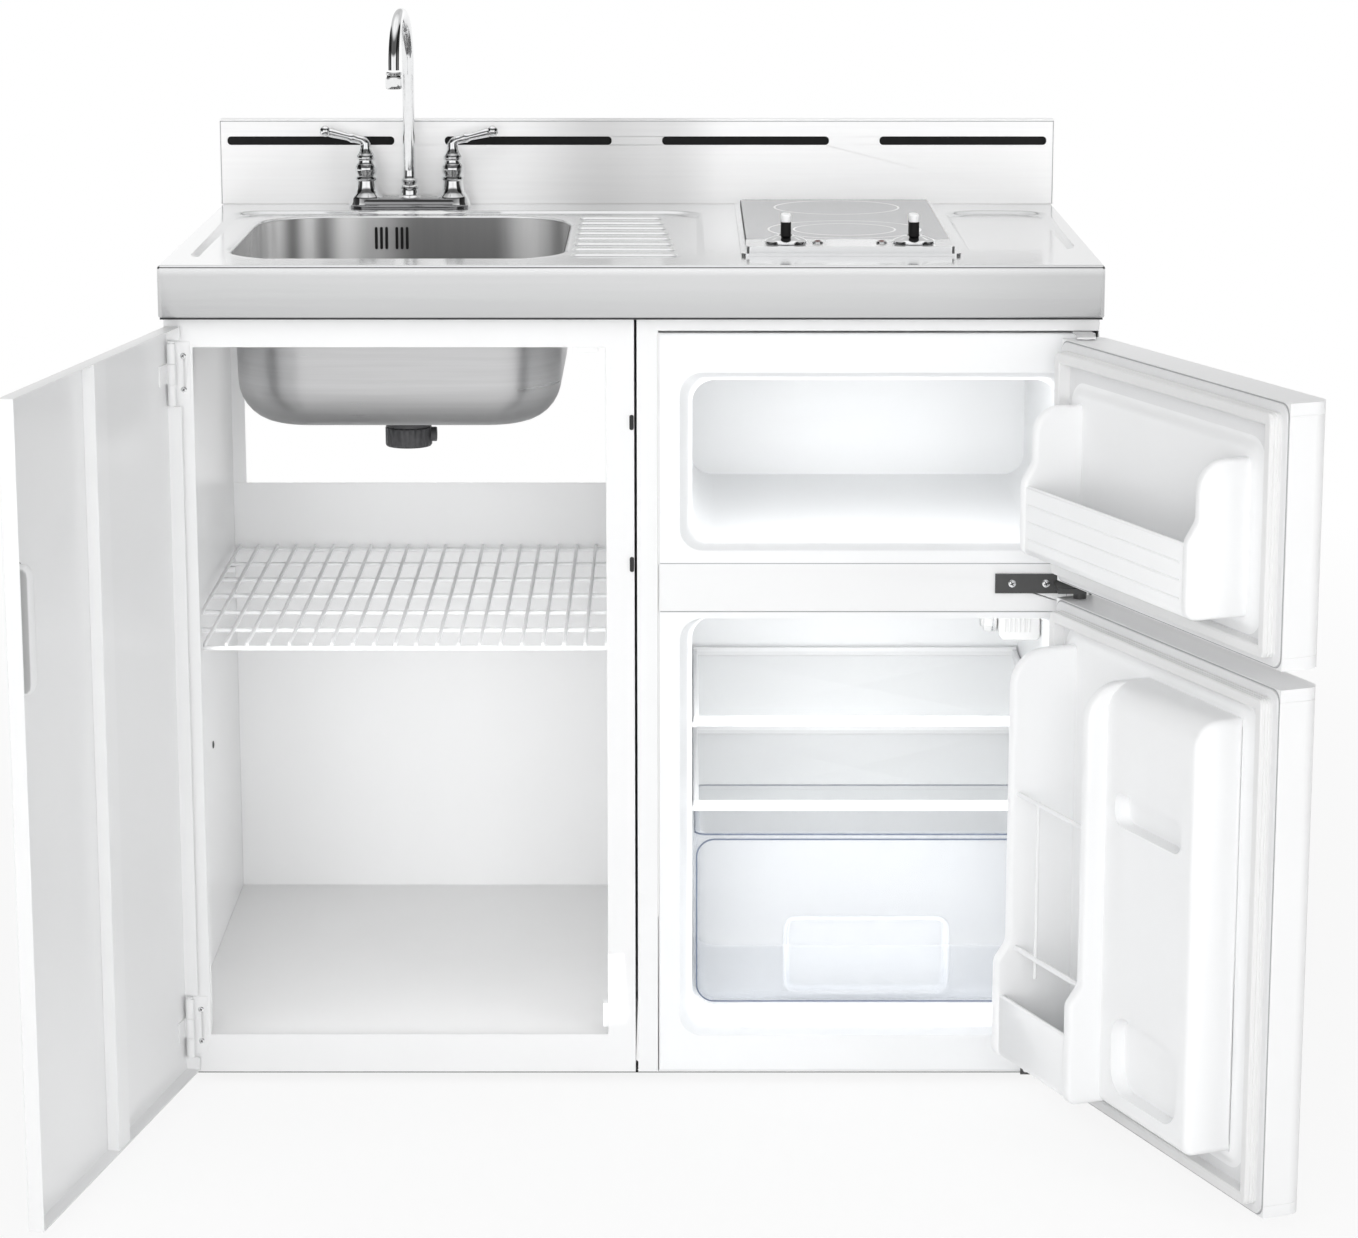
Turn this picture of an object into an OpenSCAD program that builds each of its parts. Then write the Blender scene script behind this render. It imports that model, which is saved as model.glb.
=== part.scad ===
// Kitchenette unit: stainless worktop with sink, faucet and hob over a cabinet and a two-door refrigerator.
// Millimetres, +Z up, front towards -Y, origin on the floor under the centre of the worktop.

/* [Worktop] */
// Width of the worktop
top_w = 990; // [960:5:1100]
// Depth of the worktop, apron to wall
top_d = 610; // [602:2:660]
// Height of the worktop above the floor
top_z = 900; // [890:5:960]
// Thickness of the stainless sheet
top_t = 1.2; // [0.8:0.1:2]
// Height of the front and side aprons
apron_h = 56; // [50:1:58]
// How far the apron stands out in front of the carcass
apron_lip = 20; // [19:1:30]
// Width of the hem folded in under the apron
hem_w = 12; // [6:1:16]
// Depth of the dropped trays
tray_drop = 4; // [2:0.5:6]
// Corner radius of the dropped trays
tray_r = 38; // [20:1:50]
// From the worktop's ends to the trays
tray_side = 25; // [16:1:40]
// From the worktop's front to the sink tray
tray_front = 60; // [40:1:76]
// Depth of the faucet deck behind the sink tray
deck_d = 71; // [66:1:78]
// From the hob to the trays on its two sides
tray_hob_gap = 40; // [20:1:50]
// Number of drainboard ribs
rib_n = 8; // [4:1:10]
// Width of a drainboard rib
rib_w = 20; // [12:1:24]
// Height of a drainboard rib
rib_h = 2.6; // [1.5:0.1:4]

/* [Backsplash] */
// Height of the backsplash
splash_h = 100; // [90:1:150]
// Depth of the hollow backsplash
splash_d = 22; // [16:1:24]
// Number of vent slots
slot_n = 4; // [2:1:4]
// Width of a vent slot
slot_w = 198; // [120:1:210]
// Height of a vent slot
slot_h = 10; // [6:1:14]
// Height of the slots' centre above the worktop
slot_up = 75; // [40:1:80]
// From the backsplash's end to its first slot
slot_end = 9; // [6:1:30]

/* [Sink] */
// From the worktop's left end to the bowl
bowl_left = 60; // [52:1:80]
// From the bowl to the middle panel
bowl_right = 77.6; // [60:0.2:120]
// From the worktop's front to the bowl
bowl_front = 88; // [80:1:110]
// From the sink tray's rear edge to the bowl
bowl_rear = 19; // [12:1:40]
// Depth of the bowl below the worktop
bowl_depth = 190; // [150:5:200]
// Corner radius of the bowl seen from above
bowl_r = 85; // [60:1:110]
// Radius between the bowl's walls and its bottom
bowl_fillet = 45; // [20:1:50]
// How much the walls lean in towards the bottom
bowl_draft = 6; // [0:1:10]
// Thickness of the bowl's sheet
bowl_t = 1; // [0.8:0.1:1.5]
// Radius of the hole in the bowl's bottom
drain_r = 19; // [17.5:0.5:22]
// Wall of the tailpiece
tail_t = 1.7; // [1.2:0.1:2.5]
// Bore radius of the slip nut, for the waste pipe
waste_r = 19.4; // [18:0.1:21]
// Length of the slip nut
waste_nut_h = 29; // [24:1:36]

/* [Faucet] */
// How far the spout stands left of the bowl's centre
faucet_shift = 13; // [-20:1:40]
// Distance between the two hubs
hub_pitch = 102; // [96:1:110]
// Radius of the spout's tube
spout_r = 7; // [5.5:0.5:8]
// Bend radius of the gooseneck
spout_bend = 58; // [45:1:70]
// Height of the gooseneck's straight part above the worktop
spout_rise = 172; // [150:1:200]
// Length of a lever
lever_l = 50; // [36:1:60]
// Radius of the threaded inlet shanks
shank_r = 10.3; // [9:0.1:11]
// Length of the shanks below the worktop
shank_l = 46; // [30:1:60]
// Turn of the spout at rest
spout_turn = 4; // [-30:1:30]

/* [Hob] */
// Width of the hob
hob_w = 234; // [228:2:240]
// From the worktop's right end to the hob
hob_in = 145; // [135:1:155]
// From the worktop's front to the hob
hob_front = 76; // [70:1:100]
// From the hob to the backsplash
hob_rear = 12; // [9:1:40]
// Height of the glass above the worktop
hob_h = 8; // [6:0.5:12]
// Depth of the hob box below the worktop
hob_box_h = 50; // [42:1:56]
// Front to back size of the control strip
strip_d = 66; // [60:1:76]
// Distance between the two knobs
knob_pitch = 137; // [125:1:145]
// Height of a knob
knob_h = 31; // [26:1:44]
// Radius of a knob's skirt
skirt_r = 23; // [13:0.5:24]
// Radius of a knob's shaft
shaft_r = 3; // [2.5:0.1:4]
// Radius of the front heating zone
zone_front_r = 84; // [70:1:90]
// Radius of the rear heating zone
zone_rear_r = 72; // [60:1:80]

/* [Carcass] */
// From the worktop's ends to the carcass
side_gap = 3; // [2.5:0.5:6]
// From the carcass to the wall
rear_gap = 5; // [2:1:10]
// Thickness of the carcass sheet
sheet = 1.2; // [0.8:0.1:1.5]
// Height of the feet
foot_h = 10; // [9:1:12]
// Seam between the cabinet and the right bay
seam = 2.8; // [2:0.1:4]
// Width of the cabinet's front stiles
stile_w = 30; // [28:1:36]
// Height of the cabinet's bottom rail
kick_h = 43; // [36:1:50]
// Height of the cabinet's top rail that shows under the apron
head_h = 33; // [26:1:40]
// Depth of the frame's folded edges
fold_d = 18; // [12:1:18]
// Height of the rear rails
rail_h = 44; // [36:1:60]
// From the worktop's ends to the wall fixings
fixing_in = 145; // [120:1:200]
// Radius of the wall fixing holes
fixing_r = 4; // [2.5:0.1:5]
// From the worktop's right end to the cord outlet
gland_in = 245; // [200:1:300]
// Radius of the cord outlet
cord_r = 4.6; // [3.5:0.1:5.5]
// Height of the back panel above the cabinet floor
back_h = 507; // [480:1:560]
// Height of the wire shelf above the cabinet floor
shelf_up = 427; // [400:1:440]
// Number of openings across the wire shelf
mesh_n = 21; // [12:1:24]
// Number of openings front to back in the wire shelf
mesh_rows = 6; // [4:1:8]
// Width of the filler strip left of the refrigerator
filler_w = 21.6; // [16:0.2:22]

/* [Cabinet door] */
// Thickness of the door
cab_t = 16; // [14:0.5:16]
// Gap between the carcass and the door
cab_gap = 2.5; // [2.5:0.1:2.6]
// Distance from the carcass side to the hinge pins
cab_pin_in = 9; // [8.5:0.5:9]
// Radius of the hinge pins
cab_pin_r = 2.5; // [2:0.1:2.6]
// Height of a hinge
cab_hinge_h = 66; // [50:1:80]
// From the door's ends to its hinges
cab_hinge_in = 17; // [12:1:40]
// Width of the stiffener
stiff_w = 34; // [24:1:44]
// Height of the pull cup
pull_h = 128; // [100:1:150]
// Width of the pull cup
pull_w = 32; // [26:1:38]
// From the door's top to the pull cup
pull_down = 162; // [120:1:220]
// How far the door stands open at rest
cab_open = 101; // [90:1:104]

/* [Refrigerator] */
// Width of the refrigerator
fridge_w = 460; // [440:1:500]
// From the refrigerator's right side to the carcass's outer face
fridge_gap = 4; // [3:0.5:8]
// Depth of the refrigerator's body
fridge_d = 480; // [470:1:490]
// Thickness of the outer shell
shell_t = 1; // [0.6:0.1:1.2]
// Thickness of the liners
liner_t = 2; // [1.5:0.1:2.4]
// Insulation at the sides
side_foam = 34; // [32:1:35]
// Insulation at the back
back_foam = 42; // [36:1:50]
// Height of the bar between the compartments
bar_h = 53; // [46:1:60]
// Height of the bar's bottom edge above the floor
bar_bottom = 526; // [500:1:560]
// How far the mouths of the liners flare out
flare = 13; // [8:1:13]
// Depth of the flared mouths
flare_d = 28; // [18:1:32]
// From the crisper's rim to the lower glass shelf
shelf_lo_up = 28.7; // [24:0.1:50]
// From the lower to the upper glass shelf
shelf_hi_up = 96; // [70:1:110]
// Thickness of the glass shelves
glass_t = 4; // [3:0.5:5]
// Height of the crisper drawer
crisper_h = 196; // [160:1:204]
// Width of the crisper's finger recess
grip_w = 178; // [120:1:220]
// Height of the step over the compressor
step_h = 138; // [132:1:142]
// Depth of the compressor space
step_d = 130; // [124:1:134]

/* [Refrigerator doors] */
// Thickness of a door without its gasket
fdoor_t = 47; // [44:0.5:50]
// Thickness of the gaskets
gasket_t = 12.7; // [11:0.1:14]
// Radius of the doors' front edges
fdoor_r = 16; // [8:1:20]
// Height of the refrigerator door's bottom edge
fdoor_z = 16; // [16:0.5:17]
// Distance from the door's hinge side to its pins
fpin_in = 14; // [13:0.5:15]
// Radius of the hinge pins
fpin_r = 4; // [3:0.1:5]
// How deep the pins reach into the doors
fpin_l = 10; // [6:1:11]
// Height of the plastic end caps
cap_h = 12; // [12:0.5:16]
// Depth of the refrigerator door's fins, upper part
fin_hi = 78; // [60:1:79]
// Depth of the refrigerator door's fins, lower part
fin_lo = 92; // [80:1:93]
// Depth of the can column in the door
column_p = 56; // [40:1:58]
// Depth of the freezer door's fins, upper part
fin_f_hi = 58; // [40:1:60]
// Depth of the freezer door's fins, lower part
fin_f_lo = 70; // [62:1:71]
// How far the two doors stand open at rest
fridge_open = 112; // [95:1:120]

/* [Hidden] */
$fn = 48;

// Clearances
touch = 0.3;
run = 0.05;
eps = 0.5;

fixing_down = 20;
gland_r = 8;

// Worktop and carcass planes
x_end = top_w / 2;
y_apron = -top_d / 2;
y_wall = top_d / 2;
z_sheet = top_z - top_t;
z_apron = top_z - apron_h;
y_splash = y_wall - splash_d;
x_car = x_end - side_gap;
y_front = y_apron + apron_lip;
y_rear = y_wall - rear_gap;
x_bay = x_car - fridge_gap - fridge_w - 1 - filler_w;
x_cab = x_bay - seam;
z_floor = foot_h + kick_h;
z_head = z_apron - head_h;

// Trays, bowl and hob
z_tray = top_z - tray_drop;
z_under = z_tray - top_t;
bowl_x0 = -x_end + bowl_left;
bowl_x1 = x_cab - bowl_right;
bowl_x = (bowl_x0 + bowl_x1) / 2;
bowl_y0 = y_apron + bowl_front;
bowl_y1 = y_splash - deck_d - bowl_rear;
bowl_y = (bowl_y0 + bowl_y1) / 2;
bowl_d = bowl_y1 - bowl_y0;
bowl_z = top_z - bowl_depth;
hob_x1 = x_end - hob_in;
hob_x0 = hob_x1 - hob_w;
hob_x = (hob_x0 + hob_x1) / 2;
hob_y0 = y_apron + hob_front;
hob_y1 = y_splash - hob_rear;
tray_x0 = -x_end + tray_side;
tray_x1 = hob_x0 - tray_hob_gap;
tray_y0 = y_apron + tray_front;
tray_y1 = y_splash - deck_d;
side_tray_x0 = hob_x1 + 10;
side_tray_x1 = x_end - tray_side + 8;
side_tray_y0 = tray_y0 + 72;
rib_gap = 8;
rib_short = 26;

// Drain, overflow and faucet
strainer_t = 1.6;
neck_gap = 3.5;
drain_ring_h = 3.2;
tail_h = 17;
overflow_n = 3;
overflow_pitch = 6;
overflow_shift = 31;
overflow_w = 52;
overflow_d = 15;
overflow_h = 40;
nut_wall = 6.6;
nut_lip = 7;
port_r = 8;
port_l = 6.4;
faucet_x = bowl_x - faucet_shift;
faucet_y = y_splash - deck_d / 2;
base_d = 50;
base_h = 12;
hub_r = 13;
hub_h = 44;
collar_r = 11;
aerator_l = 20;
nut_h = 12;
spout_z = top_z + spout_rise;

// Hob details
rim_h = 3;
hob_t = 1.2;
glass_gap = 1;
strip_side = 6;
strip_y0 = hob_y0 + 13;
strip_y1 = strip_y0 + strip_d;
glass_y0 = strip_y1 + 4;
glass_y1 = hob_y1 - 12;
glass_z = top_z + rim_h;
strip_top = top_z + rim_h + hob_h - 2;
knob_y = (strip_y0 + strip_y1) / 2;
knob_x = [hob_x - knob_pitch / 2, hob_x + knob_pitch / 2];
lamp_x = [hob_x - knob_pitch / 4, hob_x + knob_pitch / 4];
lamp_r = 5.5;
cut_in = 8;
cut_x0 = hob_x0 + cut_in;
cut_x1 = hob_x1 - cut_in;
cut_y0 = hob_y0 + cut_in;
cut_y1 = hob_y1 - cut_in;
box_gap = 3;
dish_h = 20;
zone_front_y = glass_y0 + zone_front_r + 14;
zone_rear_y = glass_y1 - zone_rear_r - 14;

// Wire shelf
rod_r = 2.6;
wire_r = 2.1;
shelf_z = z_floor + shelf_up;
shelf_x0 = -x_car + sheet + 5;
shelf_x1 = x_cab - sheet - 5;
shelf_y0 = y_front + 27;
shelf_y1 = y_rear - 12;
clip_rows = [1, mesh_rows - 1];

catch_l = 27;
catch_t = 5.5;
catch_d = 12;
buffer_down = 80;
buffer_pitch = 153;

// Cabinet door, closed
door_x0 = -x_car + 3;
door_x1 = x_cab - 1.6;
door_y1 = y_front - cab_gap;
door_y0 = door_y1 - cab_t;
door_z0 = foot_h + 4;
door_z1 = z_apron - 10;
pin_x = -x_car + cab_pin_in;
pin_y = door_y1 - cab_t / 2;
knuckle_r = cab_pin_r + 1.8;
hinge_z = [door_z0 + cab_hinge_in + cab_hinge_h / 2, door_z1 - cab_hinge_in - cab_hinge_h / 2];
hinge_third = cab_hinge_h / 3;
pull_x1 = door_x1 - 13;
pull_x0 = pull_x1 - pull_w;
pull_z1 = door_z1 - pull_down;
pull_z0 = pull_z1 - pull_h;
pull_t = 1.5;

// Refrigerator body
bar_top = bar_bottom + bar_h;
f_x0 = x_bay + filler_w + 1;
f_x1 = f_x0 + fridge_w;
f_z0 = foot_h + sheet;
f_z1 = z_apron - 18;
strip_z = f_z1 + 2.5;
f_y1 = y_front + fridge_d;
f_step_y = f_y1 - step_d;
f_step_z = f_z0 + step_h;
cav_x0 = f_x0 + shell_t + side_foam + 1;
cav_x1 = f_x1 - shell_t - side_foam - 1;
cav_y1 = f_y1 - back_foam;
frz_z0 = bar_top + 23;
frz_z1 = f_z1 - 54;
frg_z0 = f_z0 + 48.8;
frg_z1 = bar_bottom - 11;
low_y1 = f_step_y - back_foam;
low_z = f_step_z + back_foam + 4;
cav_r = 24;
foam_gap = 4;
glass_y = cav_y1 - 3;
trim_h = 11;
trim_d = 9;
ledge_h = 6;
ledge_w = 6;
crisper_y1 = low_y1 - 6;
crisper_z0 = frg_z0 + touch;
crisper_t = 2.4;
shelf_lo_z = crisper_z0 + crisper_h + shelf_lo_up;
shelf_hi_z = shelf_lo_z + shelf_hi_up;
grip_h = 84;
grip_depth = 14;

// Refrigerator doors, closed
fd_y1 = y_front - gasket_t - touch;
fd_y0 = fd_y1 - fdoor_t;
shelf_y = fd_y1 + fin_lo + 8;
crisper_y0 = shelf_y;
gasket_in = fpin_in - 3.5;
gasket_w = 12;
fd_split0 = bar_bottom + bar_h / 2 - 4;
fd_split1 = bar_top - 12;
fd_top = f_z1 - 1.5;
fpin_x = f_x1 - fpin_in;
fpin_y = fd_y1 - 22;
fcav_x0 = fpin_x - cav_x0;
fin_x1 = cav_x1 - 12;
fin_w = 13;
fin_x0 = cav_x0 + 20;
bottle_bay_w = 164;
column_x1 = fin_x1 - bottle_bay_w;
fin_top = frg_z1 - 6;
fin_bottom = frg_z0 + 7;
fin_step = fin_bottom + 118;
retainer_h = 168;
ffin_x0 = cav_x0 + 22;
ffin_top = frz_z1 - 8;
ffin_bottom = frz_z0 + 7;
ffin_step = ffin_bottom + 0.567 * (ffin_top - ffin_bottom);
arm_t = 5;
arm_z = (fd_split0 + fd_split1 - arm_t) / 2;
plate_t = 3;

// Thermostat
thermo_x0 = cav_x1 - 48;
thermo_z = frg_z1 - 30;
thermo_in = 150;
thermo_y = y_front + thermo_in;
dial_r = 19;
dial_t = 15;

module box(x0, x1, y0, y1, z0, z1) {
    translate([x0, y0, z0]) cube([x1 - x0, y1 - y0, z1 - z0]);
}

// A flat outline with round corners, made from squares and circles
module outline(x0, x1, y0, y1, r) {
    translate([x0 + r, y0]) square([x1 - x0 - 2 * r, y1 - y0]);
    translate([x0, y0 + r]) square([x1 - x0, y1 - y0 - 2 * r]);
    for (x = [x0 + r, x1 - r])
        for (y = [y0 + r, y1 - r])
            translate([x, y]) circle(r);
}

// A plate with round corners seen from above
module plate(x0, x1, y0, y1, z0, z1, r) {
    translate([0, 0, z0]) linear_extrude(z1 - z0) outline(x0, x1, y0, y1, r);
}

// A plate with round corners seen from the front
module front_plate(x0, x1, y0, y1, z0, z1, r) {
    translate([0, y1, 0]) rotate([90, 0, 0]) linear_extrude(y1 - y0) outline(x0, x1, z0, z1, r);
}

// Extrudes an outline drawn in Y and Z along X
module along_x(x0, x1) {
    translate([x0, 0, 0]) rotate([90, 0, 90]) linear_extrude(x1 - x0) children();
}

module rod_x(x0, x1, y, z, r) {
    translate([x0, y, z]) rotate([0, 90, 0]) cylinder(h = x1 - x0, r = r);
}

module rod_y(x, y0, y1, z, r) {
    translate([x, y1, z]) rotate([90, 0, 0]) cylinder(h = y1 - y0, r = r);
}

module rod_z(x, y, z0, z1, r) {
    translate([x, y, z0]) cylinder(h = z1 - z0, r = r);
}

// Turns closed door parts to where the doors stand at rest
module open_cabinet_door() {
    translate([pin_x, pin_y, 0]) rotate([0, 0, -cab_open]) translate([-pin_x, -pin_y, 0]) children();
}

module open_fridge_door() {
    translate([fpin_x, fpin_y, 0]) rotate([0, 0, fridge_open]) translate([-fpin_x, -fpin_y, 0]) children();
}

// ---- Worktop and backsplash ----

module rib(i) {
    pitch = (bowl_d - 60) / (rib_n - 1);
    y = bowl_y0 + 30 + pitch * i;
    x0 = bowl_x1 + rib_gap + rib_w / 2;
    x1 = tray_x1 - rib_short - rib_w / 2 - i * 2.6;
    box(x0, x1, y - rib_w / 2, y + rib_w / 2, z_tray, z_tray + rib_h);
    rod_z(x0, y, z_tray, z_tray + rib_h, rib_w / 2);
    rod_z(x1, y, z_tray, z_tray + rib_h, rib_w / 2);
}

module tray(x0, x1, y0, y1) {
    difference() {
        plate(x0, x1, y0, y1, z_under, top_z, tray_r);
        plate(x0 + top_t, x1 - top_t, y0 + top_t, y1 - top_t, z_tray, top_z + eps, tray_r - top_t);
    }
}

module worktop() {
    color("silver") difference() {
        union() {
            difference() {
                box(-x_end, x_end, y_apron, y_splash + top_t, z_sheet, top_z);
                plate(tray_x0, tray_x1, tray_y0, tray_y1, z_sheet - eps, top_z + eps, tray_r);
                plate(side_tray_x0, side_tray_x1, side_tray_y0, tray_y1, z_sheet - eps, top_z + eps, tray_r);
            }
            tray(tray_x0, tray_x1, tray_y0, tray_y1);
            tray(side_tray_x0, side_tray_x1, side_tray_y0, tray_y1);
            for (i = [0:rib_n - 1]) rib(i);
            box(-x_end, x_end, y_apron, y_apron + top_t, z_apron, z_sheet);
            box(-x_end, x_end, y_apron, y_apron + hem_w, z_apron, z_apron + top_t);
            for (x = [-x_end, x_end - top_t]) {
                box(x, x + top_t, y_apron, y_wall, z_apron, z_sheet);
                box(x, x + top_t, y_splash, y_wall, z_sheet, top_z);
            }
        }
        plate(bowl_x0, bowl_x1, bowl_y0, bowl_y1, z_under - eps, top_z, bowl_r);
        box(cut_x0, cut_x1, cut_y0, cut_y1, z_sheet - eps, top_z + eps);
        for (side = [-1, 1])
            rod_z(faucet_x + side * hub_pitch / 2, faucet_y, z_sheet - eps, top_z + eps, shank_r + 2.5);
    }
}

module backsplash() {
    pitch = (top_w - 2 * slot_end - slot_w) / (slot_n - 1);
    color("silver") difference() {
        union() {
            box(-x_end, x_end, y_splash, y_splash + top_t, top_z, top_z + splash_h);
            box(-x_end, x_end, y_splash, y_wall, top_z + splash_h - top_t, top_z + splash_h);
            box(-x_end, x_end, y_wall - top_t, y_wall, top_z, top_z + splash_h);
            for (x = [-x_end, x_end - top_t]) box(x, x + top_t, y_splash, y_wall, top_z, top_z + splash_h);
        }
        for (i = [0:slot_n - 1])
            front_plate(-x_end + slot_end + i * pitch, -x_end + slot_end + i * pitch + slot_w,
                y_splash - eps, y_splash + top_t + eps,
                top_z + slot_up - slot_h / 2, top_z + slot_up + slot_h / 2, slot_h / 2 - 0.5);
    }
}

// ---- Sink ----

// Outline of one bowl corner, to be revolved: wall, round bottom edge, flat bottom
function bowl_profile(grow, z_top) = let(rt = bowl_r + grow, rb = bowl_r - bowl_draft + grow, f = bowl_fillet + grow,
    z = bowl_z - grow)
    concat([[0, z]], [for (a = [-90:15:0]) [rb - f + f * cos(a), z + f + f * sin(a)]], [[rt, z_top], [0, z_top]]);

module bowl_form(grow, z_top) {
    hull()
        for (x = [bowl_x0 + bowl_r, bowl_x1 - bowl_r])
            for (y = [bowl_y0 + bowl_r, bowl_y1 - bowl_r])
                translate([x, y, 0]) rotate_extrude($fn = 32) polygon(bowl_profile(grow, z_top));
}

module sink_bowl() {
    flange = 9;
    color("lightgray") difference() {
        union() {
            bowl_form(bowl_t, z_under);
            plate(bowl_x0 - flange, bowl_x1 + flange, bowl_y0 - flange, bowl_y1 + flange, z_under - bowl_t, z_under,
                bowl_r + flange);
        }
        bowl_form(0, z_under + eps);
        rod_z(bowl_x, bowl_y, bowl_z - bowl_t - eps, bowl_z + eps, drain_r);
        for (group = [-1, 1])
            for (i = [0:overflow_n - 1])
                translate([bowl_x - overflow_shift + group * 12 + (i - 1) * overflow_pitch - 1.5, 0, 0])
                    box(0, 3, bowl_y1 - 8, bowl_y1 + 8, z_tray - overflow_h + 2, z_tray - overflow_h + 26);
    }
}

module sink_strainer() {
    neck_r = drain_r - neck_gap;
    z0 = bowl_z - bowl_t - 8;
    color("lightgray") difference() {
        union() {
            rod_z(bowl_x, bowl_y, bowl_z, bowl_z + strainer_t, drain_r + 10);
            rod_z(bowl_x, bowl_y, z0, bowl_z, neck_r);
        }
        difference() {
            rod_z(bowl_x, bowl_y, z0 - eps, bowl_z + strainer_t + eps, neck_r - 1.2);
            rod_z(bowl_x, bowl_y, bowl_z - 3, bowl_z - 1.5, neck_r);
        }
        rod_z(bowl_x, bowl_y, bowl_z - 4, bowl_z, 2);
        for (a = [0:60:300])
            rod_z(bowl_x + 8 * cos(a), bowl_y + 8 * sin(a), bowl_z - 4, bowl_z, 2.2);
    }
}

module drain_fitting() {
    z1 = bowl_z - bowl_t - touch;
    z_tail = z1 - drain_ring_h - tail_h;
    z_nut = z_tail - waste_nut_h;
    z_lip = z_tail - nut_lip;
    bore = drain_r - neck_gap + touch;
    tail_r = bore + tail_t;
    z_seat = z_lip - touch / 3;
    port_z = z_lip - port_r - 1;
    port_x = bowl_x + waste_r + nut_wall + port_l;
    color([0.12, 0.12, 0.13]) difference() {
        union() {
            rod_z(bowl_x, bowl_y, z1 - drain_ring_h, z1, drain_r + 12);
            rod_z(bowl_x, bowl_y, z_tail, z1 - drain_ring_h, tail_r);
            rod_z(bowl_x, bowl_y, z_lip, z_tail, waste_r + nut_wall);
        }
        rod_z(bowl_x, bowl_y, z_lip - eps, z1 + eps, bore);
    }
    // Slip nut under the tailpiece's lip, with its side port
    color([0.12, 0.12, 0.13]) difference() {
        union() {
            rod_z(bowl_x, bowl_y, z_nut, z_seat, waste_r + nut_wall);
            rod_x(bowl_x + waste_r, port_x, bowl_y, port_z, port_r);
        }
        rod_z(bowl_x, bowl_y, z_nut - eps, z_lip + eps, waste_r);
        rod_x(port_x - port_l + 1, port_x + eps, bowl_y, port_z, port_r - 2.5);
    }
    // Overflow box on the outside of the bowl's rear wall
    x = bowl_x - overflow_shift;
    y = bowl_y1 + bowl_t + touch;
    z = z_under - bowl_t;
    w = overflow_w / 2;
    color([0.2, 0.2, 0.21]) difference() {
        box(x - w, x + w, y, y + overflow_d, z - overflow_h, z);
        box(x - w + 2, x + w - 2, y - eps, y + overflow_d - 2, z - overflow_h + 2, z - 2);
    }
}

// ---- Faucet ----

module faucet_base() {
    w = hub_pitch / 2;
    z = top_z + base_h;
    color("lightgray") difference() {
        union() {
            plate(faucet_x - w - 20, faucet_x + w + 20, faucet_y - base_d / 2, faucet_y + base_d / 2,
                top_z, z - 4, base_d / 2 - 1);
            plate(faucet_x - w - 17, faucet_x + w + 17, faucet_y - base_d / 2 + 3, faucet_y + base_d / 2 - 3,
                z - 4, z, base_d / 2 - 4);
            for (side = [-1, 1]) {
                translate([faucet_x + side * w, faucet_y, z]) cylinder(h = 16, r1 = hub_r + 6, r2 = hub_r - 1);
                rod_z(faucet_x + side * w, faucet_y, z + 16, z + hub_h - 10, hub_r - 1);
                rod_z(faucet_x + side * w, faucet_y, z + hub_h - 14, z + hub_h - 10, hub_r);
                rod_z(faucet_x + side * w, faucet_y, z + hub_h - 10, z + hub_h, hub_r - 3);
                rod_z(faucet_x + side * w, faucet_y, z_sheet - shank_l, z_sheet - nut_h - 1, shank_r);
                rod_z(faucet_x + side * w, faucet_y, z_sheet - nut_h - 1, top_z, shank_r - 0.4);
            }
            rod_z(faucet_x, faucet_y, z, z + 10, collar_r);
        }
        for (side = [-1, 1]) {
            rod_z(faucet_x + side * w, faucet_y, z_sheet - shank_l - eps, top_z + 4, shank_r - 2.3);
            rod_z(faucet_x + side * w, faucet_y, z + hub_h - 15, z + hub_h + eps, 4 + run);
        }
        rod_z(faucet_x, faucet_y, top_z + 2, z + 10 + eps, spout_r + run);
    }
}

module faucet_nuts() {
    color("goldenrod") for (side = [-1, 1])
        translate([faucet_x + side * hub_pitch / 2, faucet_y, z_sheet - nut_h]) difference() {
            union() {
                cylinder(h = 9, r = shank_r + 6, $fn = 6);
                translate([0, 0, 9]) cylinder(h = nut_h - 9.1, r = shank_r + 8);
            }
            translate([0, 0, -eps]) cylinder(h = 14, r = shank_r + 0.1);
        }
}

module turn_spout() {
    translate([faucet_x, faucet_y, 0]) rotate([0, 0, -spout_turn]) children();
}

module spout() {
    color("lightgray") turn_spout() {
        difference() {
            union() {
                rod_z(0, 0, top_z + base_h - 8, spout_z, spout_r);
                translate([0, 0, top_z + base_h + 10 + touch]) cylinder(h = 5, r1 = collar_r, r2 = collar_r - 2);
                translate([0, 0, top_z + base_h + 15 + touch]) cylinder(h = 9, r1 = collar_r - 2, r2 = spout_r);
                translate([0, -spout_bend, spout_z]) rotate([90, 0, 0]) rotate([0, 90, 0])
                    rotate_extrude(angle = 180) translate([spout_bend, 0]) circle(spout_r);
                rod_z(0, -2 * spout_bend, spout_z - 4, spout_z, spout_r);
            }
            rod_z(0, -2 * spout_bend, spout_z - 5, spout_z - 1, spout_r - 1.5);
        }
    }
}

module aerator() {
    color("gray") turn_spout() difference() {
        rod_z(0, -2 * spout_bend, spout_z - 4 - aerator_l, spout_z - 4 - 0.1, spout_r + 3);
        rod_z(0, -2 * spout_bend, spout_z - 4 - aerator_l - eps, spout_z - 14, spout_r + 1);
    }
}

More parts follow.
